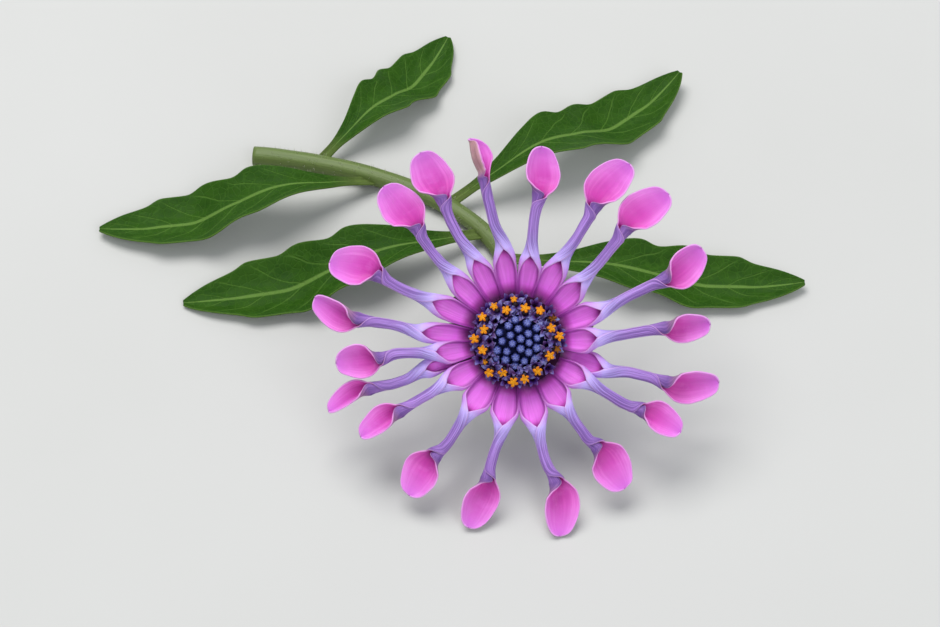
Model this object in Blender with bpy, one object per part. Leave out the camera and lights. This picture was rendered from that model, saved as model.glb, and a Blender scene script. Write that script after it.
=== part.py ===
"""Osteospermum with spoon petals: one flower picked with its leafy stem, lying on a flat surface.

The bloom leans forward on the backs of two lower petals. Its stem bends down behind it and lies
along the surface with its leaves. Lengths are in millimetres and angles in degrees: a mesh is
turned into metres as it is made. The bloom is modelled in its own frame, with Z out of its face,
and is then tilted and lifted into place. Petals and florets are placed anticlockwise from +X,
as seen from in front of the face.
"""

import math

import bpy
from mathutils import Matrix, Vector

METRES_PER_MM = 0.001

# How far the bloom leans forward
FACE_TILT = 38.0

# The ray petals: a flat strip that is open at its foot, rolled to a tube, and open again as a spoon
PETAL_ROOT = 5.3
TUBE_MIDDLE = 16.5
BLADE = 0.6
OPEN_MARGIN = 130
# Directions of the foot, window tip, tube, neck and spoon tip, then how far from the centre the
# window tip, the neck and the spoon tip lie, the spoon's width, how far the spoon rolls to the side
# (plus is anticlockwise), and how far its tip lifts above the face
PETALS = (
    (1.0, 2.0, 4.6, 5.2, 5.2, 10.9, 20.2, 26.7, 5.2, -42, 1.4),
    (19.0, 19.7, 22.3, 22.8, 25.8, 12.1, 22.0, 28.5, 5.6, -22, 0.6),
    (41.5, 42.5, 45.0, 46.5, 45.0, 11.8, 21.6, 28.9, 5.5, 12, 1.8),
    (61.0, 61.3, 60.6, 61.2, 58.8, 12.3, 21.9, 28.7, 5.7, 12, 0.9),
    (82.0, 81.2, 82.6, 82.3, 82.8, 11.6, 20.5, 26.8, 5.2, -28, 1.6),
    (98.5, 98.6, 101.6, 101.7, 103.3, 12.6, 21.9, 28.7, 5.0, -72, 0.8),
    (119.0, 118.2, 119.3, 118.5, 117.0, 12.5, 22.1, 29.2, 5.6, -12, 1.5),
    (136.0, 134.8, 134.1, 132.2, 131.0, 12.6, 21.0, 28.1, 5.5, -15, 0.7),
    (156.5, 155.7, 155.7, 155.5, 156.5, 12.8, 21.7, 28.1, 5.7, -12, 1.3),
    (175.0, 175.2, 173.0, 172.8, 169.3, 13.1, 22.1, 28.7, 5.2, 42, 0.3),
    (188.5, 188.0, 185.9, 187.0, 187.0, 11.3, 19.4, 25.3, 5.3, 15, 1.2),
    (199.0, 197.5, 198.2, 197.3, 200.5, 13.2, 22.0, 28.1, 5.0, -62, -0.9),
    (212.0, 211.0, 210.3, 210.3, 210.5, 11.3, 19.3, 25.4, 4.8, -42, 1.3),
    (235.5, 235.5, 235.0, 233.8, 234.5, 11.8, 19.7, 26.1, 5.5, -15, 0.5),
    (259.5, 260.0, 258.0, 257.8, 255.5, 11.8, 19.8, 26.8, 5.2, 25, 0.0),
    (282.0, 282.8, 283.1, 284.5, 282.5, 12.1, 20.4, 27.6, 5.2, 25, 0.46),
    (305.5, 305.5, 305.5, 306.0, 305.8, 11.1, 18.7, 25.3, 5.9, 10, 0.4),
    (328.0, 329.7, 329.5, 330.6, 330.8, 10.9, 19.9, 25.7, 4.8, 25, 1.1),
    (343.0, 341.5, 344.7, 344.2, 347.0, 12.4, 22.0, 28.5, 5.3, -25, 0.2),
)
# These two sit behind their neighbours, by this much near their feet
LOWER_PETALS = {11: -0.5, 18: -0.35}
LOWERED_FROM = 0.2

# The petal's section is an ellipse open at the top: along each stretch, half its width, half its
# depth, and how far round from the bottom each margin reaches
WINDOW_HALF_WIDTH = ((0, 0.90), (0.3, 1.15), (0.55, 1.42), (0.8, 1.62), (1, 1.30))
WINDOW_HALF_DEPTH = ((0, 0.50), (0.3, 0.72), (0.55, 0.85), (1, 0.92))
WINDOW_MARGIN = ((0, 105), (0.3, 108), (0.6, 112), (0.85, 130), (1, 172))
TUBE_HALF_WIDTH = ((0, 1.30), (0.22, 0.88), (0.5, 0.76), (0.8, 0.80), (1, 0.98))
TUBE_HALF_DEPTH = ((0, 0.92), (0.22, 0.80), (0.5, 0.74), (0.8, 0.78), (1, 0.95))
SPOON_HALF_WIDTH = ((0, 0.36), (0.12, 0.68), (0.25, 0.86), (0.48, 1.0), (0.7, 0.93), (0.87, 0.70), (1, 0.22))
SPOON_HALF_DEPTH = ((0, 0.95), (0.12, 1.25), (0.3, 1.38), (0.6, 1.12), (0.87, 0.80), (1, 0.45))
SPOON_MARGIN = ((0, 172), (0.12, 116), (0.25, 98), (0.5, 88), (1, 84))
PETAL_LIFT = ((0, -1.15), (0.12, -0.55), (0.3, 0.35), (0.5, 0.75), (0.8, 0.75), (1, 0.0))

# Stations along a petal, as shares of its window, tube and spoon
WINDOW_STATIONS = (0.0, 0.3, 0.6, 0.85)
TUBE_STATIONS = (0.0, 0.22, 0.6, 0.93)
SPOON_STATIONS = (0.12, 0.34, 0.62, 0.86)

# The seat that the ray petals grow on, and the florets' seats inside it
RAY_SEAT = ((4.7, -1.7), (6.4, -1.7), (6.4, -0.9), (6.1, -0.5), (4.7, -0.5))
DISC_SEAT = ((4.35, -1.7), (4.35, -0.6), (3.45, -0.35), (3.4, 0.6), (2.5, 1.25), (1.3, 1.6))
DISC_TOP = 1.7
OPEN_SEAT = ((3.75, -0.2), (6.1, -0.2), (6.0, 0.15), (3.75, 0.7))
SEAT_SIDES = 38

# The florets: rings up a floret as (height, how far out its points or sides stand, how far its
# notches do), and the height of its tip
CLOSED_FLORETS = 27
CLOSED_PITCH = 0.635
CLOSED_SIDES = 6
CLOSED_RINGS = ((-0.38, 0.37), (0.38, 0.46), (0.78, 0.33))
CLOSED_TIP = 0.95
CLOSED_DOME_FALL = 0.1
CLOSED_LEAN = 6.0
HALF_OPEN_FLORETS = 13
HALF_OPEN_REACH = 4.15
HALF_OPEN_RINGS = ((-0.3, 0.40, 0.40), (0.7, 0.62, 0.44), (1.25, 0.72, 0.28))
HALF_OPEN_TIP = 0.9
HALF_OPEN_HEIGHT = 0.6
HALF_OPEN_LEAN = 8.0
# Direction and distance from the centre of each open floret
OPEN_FLORETS = (
    (5, 5.85), (20, 5.0), (33, 5.75), (51, 5.15), (75.5, 4.75), (92, 5.8), (111.5, 4.65),
    (125, 5.75), (145, 5.9), (162, 4.95), (177.5, 5.95), (197, 5.05), (213, 5.6), (228.5, 5.95),
    (246, 5.1), (264.5, 5.8), (280.5, 5.3), (301, 5.2), (333.5, 4.95), (348, 5.75),
)
OPEN_RINGS = ((-0.3, 0.42, 0.42), (1.05, 1.02, 0.44), (1.35, 0.34, 0.30), (1.80, 0.66, 0.32))
OPEN_TIP = 2.0
OPEN_HEIGHT = ((4.6, 0.45), (6.0, 0.15))
OPEN_LEAN = 10.0
GOLDEN_ANGLE = 180 * (3 - math.sqrt(5))

# The green cup of bracts round the receptacle
CUP = (
    (3.40, -6.2), (4.30, -5.5), (5.60, -4.4), (6.45, -3.3),
    (5.75, -3.2), (4.90, -4.1), (3.70, -5.1), (2.80, -6.0),
)
CUP_SIDES = 32
BRACTS = 16
BRACT_REACH = ((5.2, -4.1), (6.6, -3.05), (8.1, -2.4), (9.5, -1.9), (10.7, -1.45))
BRACT_HALF_WIDTH = (1.0, 1.0, 0.85, 0.6)
BRACT_HALF_THICKNESS = 0.32
BRACT_EDGE_LIFT = 0.1

# The stem: its top widens to the receptacle, bends down to the surface and runs along it
RECEPTACLE = (
    (-2.0, 5.45), (-2.6, 5.45), (-3.2, 5.15), (-4.2, 4.30),
    (-5.2, 3.10), (-6.2, 2.05), (-7.2, 1.40), (-8.4, 1.15),
)
STEM_SIDES = 10
STEM_TOP_RADIUS = 1.12
STEM_CUT_RADIUS = 1.45
STEM_TOUCH_RADIUS = 1.22
STEM_TOUCHES = Vector((-1.0, 22.5, 0.0))
STEM_TOUCH_HEADING = Vector((-0.05, 1.0, 0.0))
STEM_CUT = Vector((-40.0, 47.0, 0.0))
STEM_CLEARANCE = 0.1
NECK_PULL = 8.5
RUN_PULLS = (13.0, 20.0)
CUT_HEADING = Vector((1.0, -0.1, 0.0))
NECK_STATIONS = 8
RUN_STATIONS = 11

# The leaves: share of the stem's run that each grows from, heading, length, half width, how high it
# arches, how high its tip lifts, how far one edge is banked up, and how far it curves to the side
LEAVES = (
    (0.12, -16.0, 42.0, 5.2, 3.4, 1.2, 0.10, 5.0),
    (0.26, 206.0, 44.0, 6.2, 4.6, 0.3, 0.00, -5.0),
    (0.44, 24.0, 42.0, 6.0, 6.0, 2.5, -0.12, 6.0),
    (0.66, 205.0, 40.0, 5.8, 5.2, 1.0, 0.14, -6.0),
    (0.84, 42.0, 31.0, 5.2, 4.0, 0.8, 0.0, 6.0),
)
LEAF_OUTLINE = (
    (0, 0.16), (0.08, 0.15), (0.2, 0.30), (0.33, 0.60), (0.45, 0.86), (0.5, 0.76), (0.62, 1.0),
    (0.68, 0.87), (0.78, 0.84), (0.83, 0.66), (0.92, 0.42), (0.97, 0.22),
)
LEAF_ARCH = ((0, 0), (0.15, 0.55), (0.35, 1.0), (0.52, 0.6), (0.68, 0), (1, 0))
LEAF_FLAT = (0.68, 0.83)
LEAF_FLAT_HALF = 0.4
LEAF_COLUMNS = (-1.0, -LEAF_FLAT_HALF, 0.0, LEAF_FLAT_HALF, 1.0)
LEAF_TROUGH = 0.30
LEAF_ROOT_HEIGHT = 1.0
LEAF_ROOT_SETTLES = 0.4
PETIOLE_GAP = 0.3


def smooth(table, x):
    """Reads a table of (place, value) at x along a smooth curve that never overshoots its points."""
    xs, ys = zip(*table)
    if x <= xs[0]:
        return ys[0]
    if x >= xs[-1]:
        return ys[-1]
    slopes = [(ys[k + 1] - ys[k]) / (xs[k + 1] - xs[k]) for k in range(len(xs) - 1)]
    tangents = [slopes[0]]
    for before, after in zip(slopes, slopes[1:]):
        same_way = before * after > 0
        tangents.append(2 * before * after / (before + after) if same_way else 0.0)
    tangents.append(slopes[-1])
    k = next(k for k in range(len(slopes)) if x <= xs[k + 1])
    step = xs[k + 1] - xs[k]
    t = (x - xs[k]) / step
    return (
        (2 * t**3 - 3 * t**2 + 1) * ys[k]
        + (t**3 - 2 * t**2 + t) * step * tangents[k]
        + (3 * t**2 - 2 * t**3) * ys[k + 1]
        + (t**3 - t**2) * step * tangents[k + 1]
    )


def polar(direction, reach, height=0.0):
    """A point in the bloom's frame, by its direction round the face."""
    turn = math.radians(direction)
    return Vector((reach * math.cos(turn), reach * math.sin(turn), height))


def loft(rings, tip=None):
    """Points and triangles of the solid through rings that have as many points each.

    Its foot is closed flat, and its far end by a point at tip, or flat.
    """
    sides = len(rings[0])
    points = [p for ring in rings for p in ring]
    faces = []
    for k in range(len(rings) - 1):
        low, high = k * sides, (k + 1) * sides
        for i in range(sides):
            j = (i + 1) % sides
            faces.append((low + i, low + j, high + j))
            faces.append((low + i, high + j, high + i))
    faces += [(0, i + 1, i) for i in range(1, sides - 1)]
    last = len(points) - sides
    if tip is None:
        faces += [(last, last + i, last + i + 1) for i in range(1, sides - 1)]
    else:
        points.append(tip)
        faces += [(last + i, last + (i + 1) % sides, len(points) - 1) for i in range(sides)]
    return points, faces


def turned_ring(profile, sides):
    """Points and triangles of a ring turned round Z, from its section as (radius, height)."""
    points = [polar(360 * s / sides, r, z) for s in range(sides) for r, z in profile]
    faces = []
    count = len(profile)
    for s in range(sides):
        here, there = s * count, (s + 1) % sides * count
        for i in range(count):
            j = (i + 1) % count
            faces.append((here + i, there + i, there + j))
            faces.append((here + i, there + j, here + j))
    return points, faces


def solid(name, shape, place=None):
    """One object from points and triangles in millimetres, put in place by a matrix."""
    points, faces = shape
    mesh = bpy.data.meshes.new(name)
    mesh.from_pydata([place @ p if place else p for p in points], [], faces)
    mesh.transform(Matrix.Scale(METRES_PER_MM, 4))
    made = bpy.data.objects.new(name, mesh)
    bpy.context.scene.collection.objects.link(made)
    return made


def fuse(base, repeats):
    """Joins the repeats, whose roots are sunk in base, to base as one closed body."""
    group = bpy.data.collections.new(base.name + "_repeats")
    for repeat in repeats:
        group.objects.link(repeat)
    join = base.modifiers.new("fuse", "BOOLEAN")
    join.operation = "UNION"
    join.operand_type = "COLLECTION"
    join.collection = group
    join.solver = "MANIFOLD"
    bpy.context.view_layer.objects.active = base
    bpy.ops.object.modifier_apply(modifier=join.name)
    for repeat in repeats:
        bpy.data.objects.remove(repeat)
    bpy.data.collections.remove(group)
    return base


def finish(made, colour, roughness):
    """Gives an object its own material and shades its curved faces smooth."""
    material = bpy.data.materials.new(made.name)
    material.use_nodes = True
    shader = material.node_tree.nodes["Principled BSDF"]
    shader.inputs["Base Color"].default_value = (*colour, 1.0)
    shader.inputs["Roughness"].default_value = roughness
    shader.inputs["Metallic"].default_value = 0.0
    made.data.materials.clear()
    made.data.materials.append(material)
    made.data.shade_smooth()
    made.data.set_sharp_from_angle(angle=math.radians(50))
    return made


def petal_stations(petal):
    """Each station of a petal as (distance from the centre, half width, half depth, margin, roll)."""
    window_tip, neck, spoon_tip, spoon_width, roll = petal[5:10]
    found = []
    for s in WINDOW_STATIONS:
        reach = PETAL_ROOT + s * (window_tip - PETAL_ROOT)
        margin = smooth(WINDOW_MARGIN, s) if s else 180
        found.append((reach, smooth(WINDOW_HALF_WIDTH, s), smooth(WINDOW_HALF_DEPTH, s), margin, 0))
    for s in TUBE_STATIONS:
        reach = window_tip + s * (neck - window_tip)
        found.append((reach, smooth(TUBE_HALF_WIDTH, s), smooth(TUBE_HALF_DEPTH, s), 180, roll * s))
    for s in SPOON_STATIONS:
        reach = neck + s * (spoon_tip - neck)
        half_width = spoon_width / 2 * smooth(SPOON_HALF_WIDTH, s)
        found.append((reach, half_width, smooth(SPOON_HALF_DEPTH, s), smooth(SPOON_MARGIN, s), roll))
    return found


def petal_axis(petal, lower, reach):
    """The point of a petal's axis at a distance from the bloom's centre."""
    window_tip, neck, spoon_tip = petal[5:8]
    places = (PETAL_ROOT, window_tip, TUBE_MIDDLE, neck, spoon_tip)
    direction = smooth(tuple(zip(places, petal[:5])), reach)
    share = (reach - PETAL_ROOT) / (spoon_tip - PETAL_ROOT)
    below = lower * min(1.0, share / LOWERED_FROM) * (1 - share)
    return polar(direction, reach, smooth(PETAL_LIFT, share) + below + petal[10] * share**2)


def petal_section(half_width, half_depth, margin):
    """The ring of a petal's section as (sideways, up) from its axis: underside, then upper side.

    Up to the open margin its upper side is the inside of the trough. Past it, that side rises until
    the section is a full ellipse, as a tube's is.
    """
    edge = min(margin, OPEN_MARGIN)
    ring = []
    for share in (-1, -0.6, -0.2, 0.2, 0.6, 1):
        turn = math.radians(edge * share)
        ring.append((half_width * math.sin(turn), -half_depth * math.cos(turn)))
    closed = min(1.0, max(0.0, (margin - OPEN_MARGIN) / (180 - OPEN_MARGIN)))
    inner_width, inner_depth = half_width - BLADE, max(BLADE / 5, half_depth - BLADE)
    for share, over in ((0.85, 152), (0.35, 172), (-0.35, 188), (-0.85, 208)):
        turn, top = math.radians(edge * share), math.radians(over)
        inside = Vector((inner_width * math.sin(turn), -inner_depth * math.cos(turn)))
        outside = Vector((half_width * math.sin(top), -half_depth * math.cos(top)))
        ring.append(tuple(inside.lerp(outside, closed)))
    return ring


def petal_shape(petal, lower):
    """One ray petal, from its foot in the seat to the tip of its spoon."""
    rings = []
    for reach, half_width, half_depth, margin, roll in petal_stations(petal):
        centre = petal_axis(petal, lower, reach)
        ahead, behind = (petal_axis(petal, lower, reach + step) for step in (0.05, -0.05))
        along = (ahead - behind).normalized()
        level = Vector((0, 0, 1)).cross(along).normalized()
        turned = Matrix.Rotation(math.radians(-roll), 3, along)
        side, up = turned @ level, turned @ along.cross(level)
        section = petal_section(half_width, half_depth, margin)
        rings.append([centre + side * x + up * y for x, y in section])
    return loft(rings, tip=petal_axis(petal, lower, petal[7]))


PETAL_SHAPES = [petal_shape(petal, LOWER_PETALS.get(k, 0.0)) for k, petal in enumerate(PETALS)]

# The bloom's frame: it leans forward to -Y, and is lifted until its lowest petals touch the surface
LEAN = Matrix.Rotation(math.radians(FACE_TILT), 4, "X")
LOWEST = min((LEAN @ point).z for points, faces in PETAL_SHAPES for point in points)
BLOOM = Matrix.Translation((0, 0, -LOWEST)) @ LEAN


def make_ray_petals():
    """The whorl of ray petals on the ring of receptacle that they grow from."""
    seat = solid("ray_petals", turned_ring(RAY_SEAT, SEAT_SIDES), BLOOM)
    petals = [solid("petal", shape, BLOOM) for shape in PETAL_SHAPES]
    finish(fuse(seat, petals), (0.66, 0.13, 0.60), 0.5)


def star_ring(height, point_radius, notch_radius):
    """A ring of five points and five notches."""
    return [polar(36 * k, notch_radius if k % 2 else point_radius, height) for k in range(10)]


def star_floret(rings, tip):
    """A floret of five lobes, from its rings."""
    return loft([star_ring(*ring) for ring in rings], tip=Vector((0, 0, tip)))


def closed_floret():
    """A closed floret: a blunt bud."""
    turns = [360 * k / CLOSED_SIDES for k in range(CLOSED_SIDES)]
    rings = [[polar(turn, radius, height) for turn in turns] for height, radius in CLOSED_RINGS]
    return loft(rings, tip=Vector((0, 0, CLOSED_TIP)))


def stand(direction, reach, height, lean):
    """The matrix that stands a floret on the face, leaning outwards."""
    turn = Matrix.Rotation(math.radians(direction), 4, "Z")
    return turn @ Matrix.Translation((reach, 0, height)) @ Matrix.Rotation(math.radians(lean), 4, "Y")


def make_closed_florets():
    """The middle of the disc: a domed seat covered with closed florets in a golden spiral."""
    turns = [360 * k / SEAT_SIDES for k in range(SEAT_SIDES)]
    rings = [[polar(turn, radius, height) for turn in turns] for radius, height in DISC_SEAT]
    seat = solid("closed_florets", loft(rings, tip=Vector((0, 0, DISC_TOP))), BLOOM)
    florets = []
    for k in range(CLOSED_FLORETS):
        reach = CLOSED_PITCH * math.sqrt(k + 0.3)
        height = DISC_TOP - CLOSED_DOME_FALL * reach**2
        place = BLOOM @ stand(k * GOLDEN_ANGLE, reach, height, CLOSED_LEAN * reach)
        florets.append(solid("closed", closed_floret(), place))
    finish(fuse(seat, florets), (0.07, 0.09, 0.32), 0.45)


def make_open_florets():
    """The rim of the disc: a ring covered with half-open florets and open ones with pollen."""
    seat = solid("open_florets", turned_ring(OPEN_SEAT, SEAT_SIDES), BLOOM)
    florets = []
    for k in range(HALF_OPEN_FLORETS):
        direction = 360 * (k + 0.4) / HALF_OPEN_FLORETS
        place = BLOOM @ stand(direction, HALF_OPEN_REACH, HALF_OPEN_HEIGHT, HALF_OPEN_LEAN)
        florets.append(solid("half_open", star_floret(HALF_OPEN_RINGS, HALF_OPEN_TIP), place))
    for direction, reach in OPEN_FLORETS:
        place = BLOOM @ stand(direction, reach, smooth(OPEN_HEIGHT, reach), OPEN_LEAN)
        florets.append(solid("open", star_floret(OPEN_RINGS, OPEN_TIP), place))
    finish(fuse(seat, florets), (0.12, 0.08, 0.30), 0.5)


def bract_shape():
    """One pointed bract, along +X, from the cup to its tip under the petals."""
    rings = []
    for (reach, height), half_width in zip(BRACT_REACH[:-1], BRACT_HALF_WIDTH):
        edge = height + BRACT_EDGE_LIFT
        low, high = height - BRACT_HALF_THICKNESS, height + BRACT_HALF_THICKNESS
        ring = ((0, low), (half_width, edge), (0, high), (-half_width, edge))
        rings.append([Vector((reach, y, z)) for y, z in ring])
    tip_reach, tip_height = BRACT_REACH[-1]
    return loft(rings, tip=Vector((tip_reach, 0, tip_height)))


def make_involucre():
    """The cup of green bracts that holds the bloom."""
    cup = solid("involucre", turned_ring(CUP, CUP_SIDES), BLOOM)
    bracts = []
    for k in range(BRACTS):
        turn = Matrix.Rotation(math.radians(360 * (k + 0.5) / BRACTS), 4, "Z")
        bracts.append(solid("bract", bract_shape(), BLOOM @ turn))
    finish(fuse(cup, bracts), (0.10, 0.20, 0.03), 0.6)


def bezier(points, t):
    """A point of the cubic curve with these four control points."""
    a, b, c, d = points
    return a * (1 - t) ** 3 + b * 3 * t * (1 - t) ** 2 + c * 3 * t**2 * (1 - t) + d * t**3


def stem_curves():
    """The stem's neck, from the receptacle to the surface, and its run along the surface."""
    top = BLOOM @ Vector((0, 0, RECEPTACLE[-1][0]))
    down = BLOOM.to_3x3() @ Vector((0, 0, -1))
    touch = STEM_TOUCHES + Vector((0, 0, STEM_TOUCH_RADIUS + STEM_CLEARANCE))
    cut = STEM_CUT + Vector((0, 0, STEM_CUT_RADIUS + STEM_CLEARANCE))
    neck = (top, top + down * NECK_PULL, touch - STEM_TOUCH_HEADING * NECK_PULL, touch)
    run = (touch, touch + STEM_TOUCH_HEADING * RUN_PULLS[0], cut + CUT_HEADING * RUN_PULLS[1], cut)
    return neck, run


def stem_radius(share):
    """The stem's radius at a share of its run along the surface."""
    return STEM_TOUCH_RADIUS + (STEM_CUT_RADIUS - STEM_TOUCH_RADIUS) * share


def ring_round(centre, along, radius):
    """A round ring of the stem, square to a direction that is never upright."""
    side = along.cross(Vector((0, 0, 1))).normalized()
    up = along.cross(side).normalized()
    turns = [2 * math.pi * k / STEM_SIDES for k in range(STEM_SIDES)]
    return [centre + side * radius * math.cos(t) + up * radius * math.sin(t) for t in turns]


def make_stem():
    """The stem with the receptacle that its top widens to, cut square at its foot."""
    neck, run = stem_curves()
    down = BLOOM.to_3x3() @ Vector((0, 0, -1))
    rings = [ring_round(BLOOM @ Vector((0, 0, height)), down, radius) for height, radius in RECEPTACLE]
    stations = [(neck, k / NECK_STATIONS) for k in range(1, NECK_STATIONS)]
    stations += [(run, k / RUN_STATIONS) for k in range(RUN_STATIONS + 1)]
    for curve, share in stations:
        along = (bezier(curve, share + 0.01) - bezier(curve, share - 0.01)).normalized()
        narrowing = STEM_TOP_RADIUS + (STEM_TOUCH_RADIUS - STEM_TOP_RADIUS) * share
        radius = narrowing if curve is neck else stem_radius(share)
        rings.append(ring_round(bezier(curve, share), along, radius))
    finish(solid("stem", loft(rings)), (0.12, 0.14, 0.04), 0.55)


def leaf_shape(root, heading, length, half_width, arch, tip_lift, bank, curve):
    """One leaf blade: toothed, arched over its length and troughed along its midrib.

    A blade that isn't banked lies flat on the surface under its midrib, along LEAF_FLAT.
    """
    forward = polar(heading, 1)
    side = polar(heading + 90, 1)

    def midrib(share):
        turn = math.radians(curve) * share * 2
        along = root + (forward * math.cos(turn) + side * math.sin(turn)) * length * share
        settled = LEAF_ROOT_HEIGHT * max(0.0, 1 - share / LEAF_ROOT_SETTLES)
        lifted = tip_lift * max(0.0, (share - LEAF_FLAT[1]) / (1 - LEAF_FLAT[1])) ** 1.5
        return Vector((along.x, along.y, settled + arch * smooth(LEAF_ARCH, share) + lifted))

    rings = []
    for share, width_share in LEAF_OUTLINE:
        centre = midrib(share)
        turn = math.radians(curve) * share * 4
        across = side * math.cos(turn) - forward * math.sin(turn)
        width = half_width * width_share
        upper, lower = [], []
        for column in LEAF_COLUMNS:
            trough = LEAF_TROUGH * width * max(0.0, abs(column) - LEAF_FLAT_HALF) / (1 - LEAF_FLAT_HALF)
            banked = (abs(bank) + bank * column) * width
            point = centre + across * column * width + Vector((0, 0, trough + banked))
            lower.append(point)
            upper.append(point + Vector((0, 0, BLADE)))
        rings.append(lower + upper[::-1])
    tip = midrib(1.0)
    return loft(rings, tip=tip + Vector((0, 0, BLADE / 2)))


def leaf_root(leaf):
    """Where a leaf starts: beside the stem, its foot's near corner the gap away from it."""
    share, heading = leaf[0], polar(leaf[1], 1)
    run = stem_curves()[1]
    along = (bezier(run, share + 0.01) - bezier(run, share - 0.01)).normalized()
    corner = leaf[3] * LEAF_OUTLINE[0][1] * abs(heading.dot(along))
    clear = stem_radius(share) + PETIOLE_GAP + corner
    root = bezier(run, share) + heading * clear / heading.cross(along).length
    return Vector((root.x, root.y, 0))


def make_leaves():
    """The leaves, numbered from the bloom down the stem."""
    for number, leaf in enumerate(LEAVES, start=1):
        shape = leaf_shape(leaf_root(leaf), *leaf[1:])
        finish(solid(f"leaf_{number}", shape), (0.05, 0.14, 0.01), 0.5)


def centre_on_origin():
    """Moves the whole flower so that its box stands centred on the origin."""
    low, high = Vector((1, 1, 1)), Vector((-1, -1, -1))
    for made in bpy.data.objects:
        for vertex in made.data.vertices:
            low = Vector(map(min, low, vertex.co))
            high = Vector(map(max, high, vertex.co))
    shift = Matrix.Translation((-(low.x + high.x) / 2, -(low.y + high.y) / 2, -low.z))
    for made in bpy.data.objects:
        made.data.transform(shift)


def main():
    for old in list(bpy.data.objects):
        bpy.data.objects.remove(old)
    make_ray_petals()
    make_closed_florets()
    make_open_florets()
    make_involucre()
    make_stem()
    make_leaves()
    centre_on_origin()


main()
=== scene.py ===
"""The looks of one spoon-petalled osteospermum flower, picked with its leafy stem and laid down."""

import collections
import math
import random

import bmesh
import bpy
from mathutils import Matrix, Vector, noise


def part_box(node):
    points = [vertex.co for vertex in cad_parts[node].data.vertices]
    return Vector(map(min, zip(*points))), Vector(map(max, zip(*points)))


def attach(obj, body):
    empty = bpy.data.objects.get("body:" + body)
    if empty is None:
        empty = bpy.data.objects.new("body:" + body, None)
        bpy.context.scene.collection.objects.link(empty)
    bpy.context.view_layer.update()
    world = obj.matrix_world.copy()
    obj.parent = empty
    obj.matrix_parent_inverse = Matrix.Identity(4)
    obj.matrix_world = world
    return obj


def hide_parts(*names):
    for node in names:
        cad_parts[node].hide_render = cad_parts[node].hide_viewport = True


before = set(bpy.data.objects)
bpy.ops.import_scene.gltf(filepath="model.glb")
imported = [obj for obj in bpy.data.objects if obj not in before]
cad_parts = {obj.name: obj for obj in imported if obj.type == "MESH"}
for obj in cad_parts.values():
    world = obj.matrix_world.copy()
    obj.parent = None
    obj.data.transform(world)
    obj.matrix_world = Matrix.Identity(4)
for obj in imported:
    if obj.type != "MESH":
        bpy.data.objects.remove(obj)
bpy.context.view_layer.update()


# The stem is a round, faintly ribbed stalk with a purple flush near the bloom and short pale hairs.
# Its top widens to the green receptacle that everything else in the bloom grows on. It was cut
# square at its foot, which shows the pale pith.
MM = 0.001
# The bloom's face leans forward, and its centre lies on the axis of the closed florets' seat, a
# dome whose back rim is the lowest and furthest back of that piece
FACE_TILT = math.radians(38)
SEAT_RIM = 4.35 * MM
SEAT_BACK = 1.7 * MM
seat_low, seat_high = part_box("closed_florets")
CENTRE = Vector((
    (seat_low.x + seat_high.x) / 2,
    seat_high.y - SEAT_RIM * math.cos(FACE_TILT) - SEAT_BACK * math.sin(FACE_TILT),
    seat_low.z + SEAT_RIM * math.sin(FACE_TILT) + SEAT_BACK * math.cos(FACE_TILT),
))
# From millimetres on the surface under the bloom to the frame's metres, from millimetres on the
# bloom's face to the former, and both in one
GROUND = Matrix.Translation((CENTRE.x, CENTRE.y, 0)) @ Matrix.Scale(MM, 4)
LEAN = Matrix.Translation((0, 0, CENTRE.z / MM)) @ Matrix.Rotation(FACE_TILT, 4, "X")
BLOOM = GROUND @ LEAN
# Height and radius of the receptacle, down to where the stem starts. Minus is behind the face.
STEM_RECEPTACLE = (
    (-2.0, 5.45), (-2.6, 5.45), (-3.2, 5.15), (-4.2, 4.30),
    (-5.2, 3.10), (-6.2, 2.05), (-7.2, 1.40), (-8.4, 1.15),
)
# The stem's radius below it, where the stem reaches the surface, and at the cut
STEM_RADII = (1.12, 1.22, 1.45)
STEM_TOUCHES = Vector((-1.0, 22.5, STEM_RADII[1] + 0.1))
STEM_TOUCH_HEADING = Vector((-0.05, 1.0, 0.0))
STEM_CUT = Vector((-40.0, 47.0, STEM_RADII[2] + 0.1))
STEM_CUT_HEADING = Vector((1.0, -0.1, 0.0))
# How far the curve runs on towards its headings, at the neck, and where it touches and is cut
STEM_NECK_PULL = 8.5
STEM_RUN_PULLS = (13.0, 20.0)
# Shares of the stem's length where the receptacle ends and where the stem reaches the surface
STEM_PARTS = (0.14, 0.40)
STEM_SIDES = 28
STEM_ROWS = 150
STEM_RIBS = 7
STEM_RIB_DEPTH = 0.025
STEM_LUMP_DEPTH = 0.06
STEM_LUMPS_PER_MM = 0.22
PITH_RINGS = (0.1, 0.3, 0.35, 0.3)
HAIRS = 620
# Shares of the stem's length between which it has hairs, and how far each may tilt
HAIR_SPAN = (0.13, 0.99)
HAIR_TILT = 0.4
HAIR_LENGTHS = (0.35, 0.75)
HAIR_RADII = (0.035, 0.008)
# A hair that would end closer than this to the surface below is left out
HAIR_CLEARANCE = 0.1


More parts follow.
